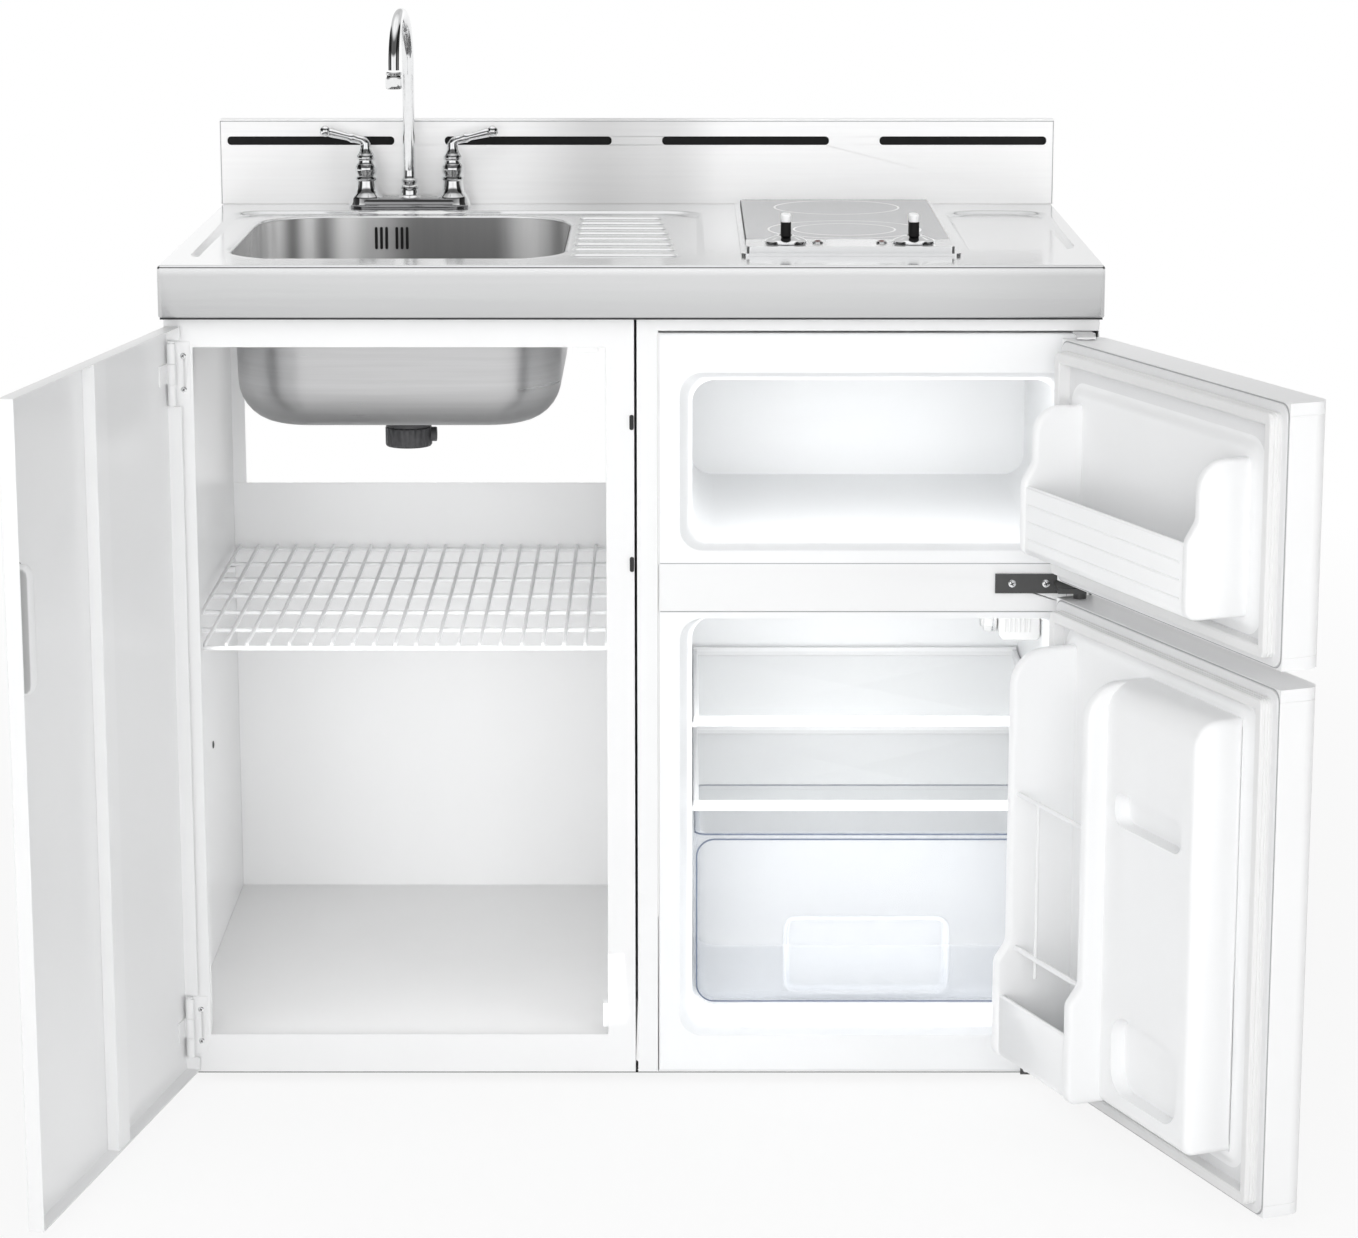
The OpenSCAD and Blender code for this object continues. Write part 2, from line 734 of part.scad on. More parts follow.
// A lever handle that points along +X: stem, cap and a lever that rises outwards
module lever_handle() {
    z = top_z + base_h + hub_h;
    rod_z(0, 0, z - 14, z + touch, 4);
    rod_z(0, 0, z + touch, z + touch + 5, hub_r - 2);
    translate([0, 0, z + touch + 5]) cylinder(h = 9, r1 = hub_r - 2, r2 = 6);
    rod_z(0, 0, z + touch + 14, z + touch + 22, 6);
    translate([0, 0, z + touch + 20]) sphere(6.4);
    translate([0, 0, z + touch + 20]) rotate([0, 76, 0]) cylinder(h = lever_l, r1 = 4.6, r2 = 6.6);
    translate([0, 0, z + touch + 20]) rotate([0, 76, 0]) translate([0, 0, lever_l]) sphere(6.6);
}

module hot_handle() {
    color("lightgray") translate([faucet_x - hub_pitch / 2, faucet_y, 0]) rotate([0, 0, 180]) lever_handle();
}

module cold_handle() {
    color("lightgray") translate([faucet_x + hub_pitch / 2, faucet_y, 0]) lever_handle();
}

// ---- Hob ----

module hob_frame() {
    color("gainsboro") difference() {
        union() {
            plate(hob_x0, hob_x1, hob_y0, hob_y1, top_z, top_z + rim_h, 8);
            plate(hob_x0 + strip_side, hob_x1 - strip_side, strip_y0, strip_y1, top_z, strip_top, 5);
        }
        plate(hob_x0 + strip_side + hob_t, hob_x1 - strip_side - hob_t, strip_y0 + hob_t, strip_y1 - hob_t,
            top_z - eps, strip_top - hob_t, 4);
        box(cut_x0 + 4, cut_x1 - 4, glass_y0 + 6, glass_y1 - 6, top_z - eps, top_z + rim_h + eps);
        for (x = knob_x) rod_z(x, knob_y, strip_top - hob_t - eps, strip_top + eps, shaft_r + 1);
        for (x = lamp_x) rod_z(x, knob_y, strip_top - hob_t - eps, strip_top + eps, lamp_r - 1);
    }
}

module hob_glass() {
    color([0.45, 0.46, 0.48]) plate(hob_x0 + 7, hob_x1 - 7, glass_y0, glass_y1, glass_z, glass_z + hob_h - 3, 6);
}

module hob_box() {
    z0 = z_sheet - hob_box_h;
    color("darkgray") difference() {
        box(cut_x0 + box_gap, cut_x1 - box_gap, cut_y0 + box_gap, cut_y1 - box_gap, z0, top_z);
        box(cut_x0 + box_gap + 1, cut_x1 - box_gap - 1, cut_y0 + box_gap + 1, cut_y1 - box_gap - 1, z0 + 1, top_z + eps);
    }
}

module radiant_element(y, r) {
    z1 = glass_z - touch;
    z0 = z_sheet - hob_box_h + 1;
    difference() {
        rod_z(hob_x, y, z1 - dish_h, z1, r);
        rod_z(hob_x, y, z1 - dish_h + 6, z1 + eps, r - 8);
    }
    for (side = [-1, 1])
        box(hob_x + side * 40 - 6, hob_x + side * 40 + 6, y - 1.5, y + 1.5, z0, z1 - dish_h);
}

module radiant_elements() {
    color("dimgray") radiant_element(zone_front_y, zone_front_r);
    color("dimgray") radiant_element(zone_rear_y, zone_rear_r);
}

module hob_switches() {
    z1 = strip_top - hob_t;
    color("ivory") for (x = knob_x)
        difference() {
            box(x - 18, x + 18, knob_y - 20, knob_y + 20, z1 - 32, z1);
            rod_z(x, knob_y, z1 - 20, z1 + eps, shaft_r + run);
        }
}

module indicator_lamps() {
    color("orange") for (x = lamp_x) {
        rod_z(x, knob_y, strip_top - 14, strip_top, lamp_r - 1.2);
        rod_z(x, knob_y, strip_top, strip_top + 1.6, lamp_r + 1.5);
        translate([x, knob_y, strip_top + 1.6]) cylinder(h = 3, r1 = lamp_r, r2 = lamp_r - 2);
    }
}

module hob_knob(x) {
    z = strip_top + touch;
    translate([x, knob_y, 0]) {
        color("black") rod_z(0, 0, strip_top - hob_t - 17, z, shaft_r);
        color("lightgray") translate([0, 0, z]) cylinder(h = 3, r = skirt_r);
        color("lightgray") translate([0, 0, z + 3]) cylinder(h = 5, r1 = skirt_r, r2 = skirt_r - 8);
        color("black") plate(-5.5, 5.5, -13, 13, z + 8, z + knob_h, 5);
    }
}

module hob_knob_left() {
    hob_knob(knob_x[0]);
}

module hob_knob_right() {
    hob_knob(knob_x[1]);
}

// ---- Carcass ----

module side_panel_left() {
    color("white") {
        box(-x_car, -x_car + sheet, y_front + sheet, y_rear, foot_h, z_sheet);
        box(-x_car, -x_car + 17, y_rear - sheet, y_rear, foot_h, z_sheet);
        box(-x_car, -x_car + 28, y_front + sheet, y_rear, foot_h, foot_h + sheet);
    }
}

// Upright panel with its top edge notched to pass under the sink tray
module notched_panel(x0, x1, y0, y1) {
    difference() {
        box(x0, x1, y0, y1, foot_h, z_sheet);
        box(x0 - eps, x1 + eps, tray_y0 - touch, tray_y1 + touch, z_under, z_sheet + eps);
    }
}

module divider_panel() {
    color("white") {
        notched_panel(x_cab - sheet, x_cab, y_front + sheet, y_rear);
        box(x_cab - 17, x_cab, y_rear - sheet, y_rear, foot_h, z_sheet);
        box(x_cab - 28, x_cab, y_front + sheet, y_rear, foot_h, foot_h + sheet);
    }
}

module side_panel_right() {
    color("white") {
        box(x_car - sheet, x_car, y_front, y_rear, foot_h, z_sheet);
        box(x_car - 17, x_car, y_rear - sheet, y_rear, foot_h + sheet, z_sheet);
    }
}

module cabinet_floor() {
    color("white") {
        box(-x_car + sheet, x_cab - sheet, y_front + sheet, y_rear - 2 * sheet, z_floor - sheet, z_floor);
        box(-x_car + sheet, x_cab - sheet, y_rear - 3 * sheet, y_rear - 2 * sheet, foot_h + sheet, z_floor);
    }
}

module cabinet_back() {
    color("gainsboro")
        box(-x_car + sheet, x_cab - sheet, y_rear - 2 * sheet, y_rear - sheet, foot_h + sheet, z_floor + back_h);
}

module front_frame() {
    z0 = foot_h;
    x0 = -x_car + stile_w;
    x1 = x_cab - stile_w;
    color("white") {
        box(-x_car, x0, y_front, y_front + sheet, z0, z_sheet);
        box(x1, x_cab, y_front, y_front + sheet, z0, z_sheet);
        box(x0, x1, y_front, y_front + sheet, z0, z_floor);
        box(x0, x1, y_front, y_front + sheet, z_head, z_sheet);
        box(x0 - sheet, x0, y_front, y_front + fold_d, z_floor, z_head);
        box(x1, x1 + sheet, y_front, y_front + fold_d, z_floor, z_head);
        box(x0 - sheet, x1 + sheet, y_front, y_front + fold_d, z_head, z_head + sheet);
    }
}

module rear_rail(x0, x1, z0, z1) {
    box(x0, x1, y_rear - 2 * sheet, y_rear - sheet, z0, z1);
    box(x0, x1, y_rear - 20, y_rear - sheet, z0, z0 + sheet);
}

module rear_frame() {
    z0 = z_sheet - rail_h;
    color("white") difference() {
        union() {
            rear_rail(-x_car + sheet, x_cab - sheet, z0, z_sheet);
            rear_rail(x_bay + sheet, x_car - sheet, z0, z_sheet);
        }
        for (side = [-1, 1])
            rod_y(side * (x_end - fixing_in), y_rear - 25, y_rear + eps, z_sheet - fixing_down, fixing_r);
        rod_y(x_end - gland_in, y_rear - 25, y_rear + eps, z_sheet - fixing_down, gland_r + 0.2);
    }
}

module right_bay_frame() {
    x1 = x_bay + filler_w;
    color("white") {
        notched_panel(x_bay, x_bay + sheet, y_front, y_rear);
        box(x_bay, x1, y_front, y_front + sheet, foot_h, z_sheet);
        box(x1 - sheet, x1, y_front, y_front + fold_d, foot_h, z_sheet);
        box(x1, x_car - sheet, y_front, y_front + sheet, strip_z, z_sheet);
        box(x1, x_car - sheet, y_front, y_front + fold_d, strip_z, strip_z + sheet);
        box(x_bay, x_car - sheet, y_front, y_rear, foot_h, foot_h + sheet);
        box(x_bay, x_bay + 17, y_rear - sheet, y_rear, foot_h, z_sheet);
    }
}

module wire_shelf() {
    pitch_x = (shelf_x1 - shelf_x0 - 2 * wire_r) / mesh_n;
    pitch_y = (shelf_y1 - shelf_y0 - 2 * rod_r) / mesh_rows;
    color("white") {
        for (i = [0:mesh_rows])
            translate([shelf_x0, shelf_y0 + rod_r + i * pitch_y, shelf_z]) rotate([0, 90, 0])
                cylinder(h = shelf_x1 - shelf_x0, r = rod_r, $fn = 8);
        for (i = [0:mesh_n])
            translate([shelf_x0 + wire_r + i * pitch_x, shelf_y1, shelf_z + rod_r + wire_r - 0.6]) rotate([90, 0, 0])
                cylinder(h = shelf_y1 - shelf_y0, r = wire_r, $fn = 8);
    }
}

module shelf_clips() {
    pitch_y = (shelf_y1 - shelf_y0 - 2 * rod_r) / mesh_rows;
    z = shelf_z - rod_r - touch;
    color("white") for (i = clip_rows) {
        y = shelf_y0 + rod_r + i * pitch_y;
        box(-x_car + sheet, shelf_x0 + 7, y - 4, y + 4, z - 6, z);
        box(shelf_x1 - 7, x_cab - sheet, y - 4, y + 4, z - 6, z);
    }
}

module foot(x, y) {
    rod_z(x, y, 0, foot_h * 0.6, 15);
    translate([x, y, foot_h * 0.6]) cylinder(h = foot_h * 0.4, r1 = 15, r2 = 10);
}

module levelling_feet() {
    color("dimgray") {
        for (x = [-x_car + 16, x_cab - 12, x_bay + 24, x_car - 18])
            for (y = [y_front + 42, y_rear - 42]) foot(x, y);
        foot(x_cab - 12, (y_front + y_rear) / 2);
    }
}

module seam_buffers() {
    color("black") for (z = [z_head - buffer_down, z_head - buffer_down - buffer_pitch])
        front_plate(x_cab - 5, x_cab - 0.4, y_front - cab_gap + 0.8, y_front, z - 8, z + 8, 2);
}

module magnetic_catches() {
    x1 = x_cab - stile_w;
    y0 = y_front + 2;
    color("gray") box(x1 - catch_t, x1, y0, y0 + catch_d, z_floor + 8, z_floor + 8 + catch_l);
    color("gray") box(x1 - 8 - catch_l, x1 - 8, y0, y0 + catch_d, z_head - catch_t, z_head);
}

module knuckle(z0, z1) {
    difference() {
        rod_z(pin_x, pin_y, z0, z1, knuckle_r);
        rod_z(pin_x, pin_y, z0 - eps, z1 + eps, cab_pin_r + run);
    }
}

module hinge_bracket(z) {
    half = cab_hinge_h / 2;
    difference() {
        union() {
            box(pin_x - 1, pin_x + 18, y_front - sheet, y_front, z - half, z + half);
            for (z0 = [z - half, z + half - hinge_third])
                difference() {
                    union() {
                        rod_z(pin_x, pin_y, z0, z0 + hinge_third, knuckle_r);
                        box(pin_x - 1, pin_x + 1, pin_y, y_front, z0, z0 + hinge_third);
                    }
                    rod_z(pin_x, pin_y, z0 - eps, z0 + hinge_third + eps, cab_pin_r + run);
                }
        }
        for (side = [-1, 1]) rod_y(pin_x + 11, y_front - 3, y_front + eps, z + side * 18, 1.8);
    }
}

module cabinet_hinge_brackets() {
    color("silver") for (z = hinge_z) hinge_bracket(z);
}

module cord_gland() {
    y0 = y_rear - 14;
    y1 = y_rear + rear_gap - 1;
    x = x_end - gland_in;
    z = z_sheet - fixing_down;
    color([0.15, 0.15, 0.15]) difference() {
        union() {
            rod_y(x, y0, y1, z, gland_r);
            rod_y(x, y_rear - sheet + 0.1, y1, z, gland_r + 3);
            rod_y(x, y0, y_rear - 2 * sheet - 0.1, z, gland_r + 3);
        }
        rod_y(x, y0 - eps, y1 + eps, z, cord_r);
    }
}

// ---- Cabinet door, drawn closed ----

module cabinet_door_panel() {
    r = 2;
    color("white") open_cabinet_door() difference() {
        box(door_x0, door_x1, door_y0, door_y1, door_z0, door_z1);
        box(door_x0 + sheet, door_x1 - sheet, door_y0 + sheet, door_y1 + eps, door_z0 + sheet, door_z1 - sheet);
        for (z = hinge_z)
            box(door_x0 - eps, door_x0 + sheet + r, door_y0 + sheet, door_y1 + eps,
                z - cab_hinge_h / 2 - r, z + cab_hinge_h / 2 + r);
        front_plate(pull_x0, pull_x1, door_y0 - eps, door_y0 + sheet + eps, pull_z0, pull_z1, pull_w / 2 - 1);
    }
}

module cabinet_door_stiffener() {
    x0 = (door_x0 + door_x1) / 2 - stiff_w / 2;
    y0 = door_y0 + sheet;
    y1 = door_y1 - 2;
    color("white") open_cabinet_door() difference() {
        box(x0, x0 + stiff_w, y0, y1, door_z0 + sheet, door_z1 - sheet);
        box(x0 + sheet, x0 + stiff_w - sheet, y0 - eps, y1 - sheet, door_z0, door_z1);
    }
}

module cabinet_door_pull() {
    y1 = door_y1 - 1;
    color("white") open_cabinet_door() difference() {
        union() {
            front_plate(pull_x0 + 0.2, pull_x1 - 0.2, door_y0, y1, pull_z0 + 0.2, pull_z1 - 0.2, pull_w / 2 - 1.2);
            front_plate(pull_x0 - 3, pull_x1 + 3, door_y0 - 1, door_y0, pull_z0 - 3, pull_z1 + 3, pull_w / 2 + 2);
        }
        front_plate(pull_x0 + pull_t, pull_x1 - pull_t, door_y0 - 1 - eps, y1 - pull_t,
            pull_z0 + pull_t, pull_z1 - pull_t, pull_w / 2 - 1 - pull_t);
    }
}

module cabinet_door_hinge(z) {
    z0 = z - cab_hinge_h / 2 + hinge_third + touch;
    z1 = z + cab_hinge_h / 2 - hinge_third - touch;
    y1 = door_y0 + 2 * sheet;
    difference() {
        union() {
            rod_z(pin_x, pin_y, z0, z1, knuckle_r);
            box(pin_x - 1, pin_x + 1, y1 - eps, pin_y, z0, z1);
            box(pin_x - 1, pin_x + 22, door_y0 + sheet, y1, z0, z1);
        }
        rod_z(pin_x, pin_y, z0 - eps, z1 + eps, cab_pin_r + 0.02);
    }
    rod_z(pin_x, pin_y, z - cab_hinge_h / 2 - 1, z + cab_hinge_h / 2 + touch, cab_pin_r);
    rod_z(pin_x, pin_y, z + cab_hinge_h / 2 + touch, z + cab_hinge_h / 2 + 1.8, cab_pin_r + 1);
}

module cabinet_door_hinges() {
    color("silver") open_cabinet_door() for (z = hinge_z) cabinet_door_hinge(z);
}

// ---- Refrigerator body ----

// Side view of the body, with the step over the compressor, drawn in by a margin
module body_side(m) {
    polygon([[y_front + m, f_z0 + m], [f_step_y - m, f_z0 + m], [f_step_y - m, f_step_z + m],
        [f_y1 - m, f_step_z + m], [f_y1 - m, f_z1 - m], [y_front + m, f_z1 - m]]);
}

module open_body_side(m) {
    polygon([[y_front - eps, f_z0 + m], [f_step_y - m, f_z0 + m], [f_step_y - m, f_step_z + m],
        [f_y1 - m, f_step_z + m], [f_y1 - m, f_z1 - m], [y_front - eps, f_z1 - m]]);
}

module fridge_shell() {
    t = shell_t;
    color("white") difference() {
        union() {
            difference() {
                along_x(f_x0, f_x1) body_side(0);
                along_x(f_x0 + t, f_x1 - t) open_body_side(t);
            }
            box(f_x0 + t, f_x1 - t, y_front, y_front + t, bar_bottom, bar_top);
        }
        for (x = [fpin_x - 69, fpin_x - 33]) rod_y(x, y_front - eps, y_front + 4, arm_z + arm_t / 2, 2.3);
    }
}

// The hollow of one compartment: flared mouth and straight tub; grow makes it larger for the outside of the liner
module compartment(z0, z1, up, down, grow, y0) {
    g = grow;
    hull() {
        front_plate(cav_x0 - flare - g, cav_x1 + flare + g, y0, y0 + 1, z0 - down - g, z1 + up + g, cav_r + g);
        front_plate(cav_x0 - g, cav_x1 + g, y_front + flare_d, y_front + flare_d + 1, z0 - g, z1 + g, cav_r + g);
    }
}

module freezer_tub(g, y0) {
    compartment(frz_z0, frz_z1, 12, 9, g, y0);
    front_plate(cav_x0 - g, cav_x1 + g, y_front + flare_d, cav_y1 - 30 + g, frz_z0 - g, frz_z1 + g, cav_r + g);
}

module fridge_tub(g, y0) {
    compartment(frg_z0, frg_z1, 4, 8, g, y0);
    front_plate(cav_x0 - g, cav_x1 + g, y_front + flare_d, low_y1 + g, frg_z0 - g, frg_z1 + g, cav_r + g);
    front_plate(cav_x0 - g, cav_x1 + g, y_front + flare_d, cav_y1 + g, low_z - g, frg_z1 + g, cav_r + g);
}

module freezer_liner() {
    t = liner_t;
    color("white") difference() {
        union() {
            box(f_x0 + shell_t + 0.1, f_x1 - shell_t - 0.1, y_front, y_front + t, bar_top + 0.2, f_z1 - shell_t - 0.1);
            freezer_tub(t, y_front + 0.5);
        }
        freezer_tub(0, y_front - eps);
    }
}

module fridge_liner() {
    t = liner_t;
    color("white") {
        difference() {
            union() {
                box(f_x0 + shell_t + 0.1, f_x1 - shell_t - 0.1, y_front, y_front + t,
                    f_z0 + shell_t + 0.1, bar_bottom - 0.2);
                fridge_tub(t, y_front + 0.5);
            }
            fridge_tub(0, y_front - eps);
        }
        for (z = [shelf_hi_z, shelf_lo_z])
            for (x = [cav_x0 - eps, cav_x1 - ledge_w])
                box(x, x + ledge_w + eps, shelf_y + trim_d + 4, glass_y - 20, z - ledge_h, z);
    }
}

module fridge_foam() {
    t = shell_t;
    y0 = y_front + foam_gap + t;
    color("lightyellow") difference() {
        intersection() {
            along_x(f_x0 + t, f_x1 - t) body_side(t);
            box(f_x0, f_x1, y0, f_y1, f_z0, f_z1);
        }
        translate([0, 0.01, 0]) freezer_tub(liner_t + 0.05, y_front + 0.5);
        translate([0, 0.01, 0]) fridge_tub(liner_t + 0.05, y_front + 0.5);
    }
}

module glass_shelves() {
    color([0.8, 0.9, 0.92]) for (z = [shelf_hi_z, shelf_lo_z])
        box(cav_x0 + 2, cav_x1 - 2, shelf_y + 3, glass_y, z + 0.1, z + 0.1 + glass_t);
}

module shelf_trim(z) {
    y0 = shelf_y;
    difference() {
        box(cav_x0 + 1.5, cav_x1 - 1.5, y0, y0 + trim_d, z - 3, z - 3 + trim_h);
        box(cav_x0, cav_x1, y0 + 3 - 0.1, y0 + trim_d + eps, z, z + glass_t + 0.2);
    }
}

module shelf_trims() {
    color("white") for (z = [shelf_hi_z, shelf_lo_z]) shelf_trim(z);
}

module thermostat_housing() {
    color("white") difference() {
        intersection() {
            box(thermo_x0, cav_x1, thermo_y, thermo_y + 70, thermo_z - 25, thermo_z + 25);
            front_plate(cav_x0 + 0.2, cav_x1 - 0.2, thermo_y, thermo_y + 70, frg_z0, frg_z1 - 0.2, cav_r - 0.2);
        }
        box(thermo_x0 + 2, cav_x1 - 12, thermo_y + 2, thermo_y + 68, thermo_z - 23, thermo_z + 15);
        rod_x(thermo_x0 - eps, thermo_x0 + 3, thermo_y + 26, thermo_z, 3 + run);
    }
}

module thermostat_dial() {
    y = thermo_y + 26;
    color("white") {
        rod_x(thermo_x0 - touch, thermo_x0 + 12, y, thermo_z, 3);
        rod_x(thermo_x0 - touch - dial_t, thermo_x0 - touch, y, thermo_z, dial_r);
        rod_x(thermo_x0 - touch - dial_t - 3, thermo_x0 - touch - dial_t, y, thermo_z, dial_r - 4);
    }
}

// A tub whose corners are round seen from above and whose bottom edges are round seen from the front
module crisper_form(x0, x1, y0, y1, z0, z1, r, rb) {
    intersection() {
        plate(x0, x1, y0, y1, z0, z1, r);
        front_plate(x0, x1, y0, y1, z0, z1 + 2 * rb, rb);
    }
}

module crisper_drawer() {
    x0 = cav_x0 + 2.5;
    x1 = cav_x1 - 2.5;
    y0 = crisper_y0;
    y1 = crisper_y1;
    z0 = crisper_z0;
    z1 = z0 + crisper_h;
    xm = (x0 + x1) / 2;
    t = crisper_t;
    gz = z0 + 14;
    color([0.82, 0.88, 0.95]) difference() {
        union() {
            difference() {
                crisper_form(x0, x1, y0, y1, z0, z1, 14, cav_r - 1.5);
                crisper_form(x0 + t, x1 - t, y0 + t, y1 - t, z0 + t, z1 + eps, 14 - t, cav_r - 1.5 - t);
            }
            box(xm - grip_w / 2 - t, xm + grip_w / 2 + t, y0, y0 + grip_depth + t, gz, gz + grip_h + t);
        }
        box(xm - grip_w / 2, xm + grip_w / 2, y0 - eps, y0 + grip_depth, gz - eps, gz + grip_h);
    }
}

// Outline of the compressor's can, to be revolved
function can_profile(r, h) = concat([[0, 0]],
    [for (a = [-90:15:0]) [r - 18 + 18 * cos(a), 18 + 18 * sin(a)]],
    [for (a = [0:15:90]) [r - 30 + 30 * cos(a), h - 30 + 30 * sin(a)]], [[0, h]]);

module compressor() {
    x = f_x1 - 120;
    y = f_step_y + step_d / 2 + 2;
    z0 = f_z0;
    color([0.15, 0.15, 0.16]) {
        translate([x, y, z0 + 12]) rotate_extrude() polygon(can_profile(54, 112));
        box(x - 80, x + 80, y - 45, y + 45, z0 + 10, z0 + 13);
        for (sx = [-1, 1])
            for (sy = [-1, 1])
                rod_z(x + sx * 68, y + sy * 34, z0, z0 + 12, 8);
        rod_y(x - 20, y + 30, f_y1 - 1, z0 + 60, 4);
    }
}

module condenser_coil() {
    n = 8;
    pitch = 52;
    r = 2.4;
    y = f_y1 + 12;
    x0 = f_x0 + 60;
    x1 = f_x1 - 60;
    z0 = f_step_z + 60;
    color("black") {
        for (i = [0:n]) rod_x(x0, x1, y, z0 + i * pitch, r);
        for (i = [0:n - 1])
            translate([i % 2 == 0 ? x1 : x0, y, z0 + (i + 0.5) * pitch]) rotate([90, 0, 0])
                rotate([0, 0, i % 2 == 0 ? -90 : 90]) rotate_extrude(angle = 180)
                    translate([pitch / 2, 0]) circle(r);
        for (x = [x0 + 20, x1 - 20])
            for (z = [z0, z0 + n * pitch])
                box(x - 5, x + 5, f_y1, y + 1, z - 4, z + 4);
        rod_z(x0, y, f_z0 + 60, z0, r);
        rod_x(x0, f_x1 - 140, y, f_z0 + 60, r);
        rod_y(f_x1 - 140, f_y1 - 0.9, y, f_z0 + 60, r);
        for (p = [[x0, z0], [x0, f_z0 + 60], [f_x1 - 140, f_z0 + 60]]) translate([p[0], y, p[1]]) sphere(r);
    }
}

// ---- Refrigerator hinges ----

module hinge_pin(z0, z1) {
    rod_z(fpin_x, fpin_y, z0, z1, fpin_r);
}

module hinge_top() {
    z = f_z1;
    x1 = fpin_x + 10;
    color("silver") {
        box(fpin_x - 10, x1, fpin_y - 10, y_front + 40, z, z + 1.8);
        rod_z(fpin_x, fpin_y, fd_top + touch, z + 0.5, fpin_r + 3);
        hinge_pin(fd_top - fpin_l, z + 0.5);
    }
}

module hinge_centre() {
    x0 = fpin_x - 87;
    color([0.25, 0.25, 0.27]) difference() {
        union() {
            box(x0, fpin_x - 8, y_front - plate_t, y_front, fd_split0 - 1.5, fd_split1 + 1);
            box(fpin_x - 24, fpin_x + 6, fpin_y - 10, y_front, arm_z, arm_z + arm_t);
            rod_z(fpin_x, fpin_y, fd_split0 + touch, fd_split1 - touch, fpin_r + 3);
            hinge_pin(fd_split0 - fpin_l, fd_split1 + fpin_l);
        }
        for (x = [fpin_x - 69, fpin_x - 33]) rod_y(x, y_front - 4, y_front + eps, arm_z + arm_t / 2, 2.6);
    }
}

module hinge_bottom() {
    z0 = fdoor_z - 8;
    color("silver") difference() {
        union() {
            box(fpin_x - 50, fpin_x + 8, y_front - plate_t, y_front, z0, fdoor_z + 3);
            box(fpin_x - 12, fpin_x + 8, fpin_y - 10, y_front, z0, z0 + 4);
            rod_z(fpin_x, fpin_y, z0, fdoor_z - touch, fpin_r + 3);
            hinge_pin(z0, fdoor_z + fpin_l);
        }
        for (x = [fpin_x - 44, fpin_x - 24]) rod_y(x, y_front - 4, y_front + eps, fdoor_z - 2, 2.6);
    }
}

module fridge_hinges() {
    hinge_top();
    hinge_centre();
    hinge_bottom();
}

module screw(x, y, z, head_r, head_h, shank_r, shank_l) {
    rod_y(x, y - head_h, y, z, head_r);
    rod_y(x, y, y + shank_l, z, shank_r);
}

module hinge_screws() {
    color("silver") {
        for (x = [fpin_x - 69, fpin_x - 33])
            screw(x, y_front - plate_t, arm_z + arm_t / 2, 4.5, 2.2, 2.2, plate_t + 3);
        for (x = [fpin_x - 44, fpin_x - 24]) screw(x, y_front - plate_t, fdoor_z - 2, 3.6, 1.8, 2.2, plate_t - 0.1);
        for (z = hinge_z)
            for (side = [-1, 1]) screw(pin_x + 11, y_front - sheet, z + side * 18, 3.2, 1.4, 1.6, sheet - 0.1);
    }
}

// ---- Refrigerator doors, drawn closed ----

// Front-rounded outline of a door seen from above, drawn in by a margin
module door_outline(m) {
    r = fdoor_r - m;
    x0 = f_x0 + m;
    x1 = f_x1 - m;
    y0 = fd_y0 + m;
    translate([x0, y0 + r]) square([x1 - x0, fd_y1 - liner_t - y0 - r]);
    translate([x0 + r, y0]) square([x1 - x0 - 2 * r, r + 1]);
    for (x = [x0 + r, x1 - r]) translate([x, y0 + r]) circle(r);
}

module door_skin(z0, z1) {
    color("white") open_fridge_door() difference() {
        translate([0, 0, z0 + cap_h]) linear_extrude(z1 - z0 - 2 * cap_h) door_outline(0);
        translate([0, 0, z0]) linear_extrude(z1 - z0) intersection() {
            door_outline(1);
            translate([f_x0, fd_y0]) square([fridge_w, fdoor_t - liner_t - 1]);
        }
    }
}

module door_cap(z0, z1) {
    translate([0, 0, z0]) linear_extrude(z1 - z0) door_outline(0);
}

module door_caps(z0, z1) {
    color("whitesmoke") open_fridge_door() {
        difference() {
            door_cap(z0, z0 + cap_h);
            rod_z(fpin_x, fpin_y, z0 - eps, z0 + fpin_l + touch, fpin_r + run);
        }
        difference() {
            door_cap(z1 - cap_h, z1);
            rod_z(fpin_x, fpin_y, z1 - fpin_l - touch, z1 + eps, fpin_r + run);
        }
    }
}

module door_gasket(z0, z1) {
    w = gasket_w;
    m = gasket_in;
    color("white") open_fridge_door() difference() {
        front_plate(f_x0 + m, f_x1 - m, fd_y1, fd_y1 + gasket_t, z0 + m, z1 - m, 8);
        front_plate(f_x0 + m + w, f_x1 - m - w, fd_y1 - eps, fd_y1 + gasket_t + eps, z0 + m + w, z1 - m - w, 4);
        front_plate(f_x0 + m + 4, f_x1 - m - 4, fd_y1 + 3, fd_y1 + 6, z0 + m + 4, z1 - m - 4, 4);
    }
}

// Side view of a fin: round top, straight upper part, deeper lower part
function fin_outline(hi, lo, z0, z1, zs, m) = let(r = min(hi - m, 38))
    concat([[0, z0 + m], [lo - m - 6, z0 + m], [lo - m, z0 + m + 8], [lo - m, zs - 10], [hi - m, zs + 8]],
        [for (a = [0:15:90]) [hi - m - r + r * cos(a), z1 - m - r + r * sin(a)]], [[0, z1 - m]]);

module fin(x0, x1, hi, lo, z0, z1, zs) {
    translate([0, fd_y1, 0]) difference() {
        along_x(x0, x1) polygon(fin_outline(hi, lo, z0, z1, zs, 0));
        translate([0, -0.01, 0]) along_x(x0 + liner_t, x1 - liner_t) polygon(fin_outline(hi, lo, z0, z1, zs, liner_t));
    }
}

module liner_sheet(z0, z1) {
    box(f_x0 + 2, f_x1 - 2, fd_y1 - liner_t, fd_y1, z0 + 2, z1 - 2);
}

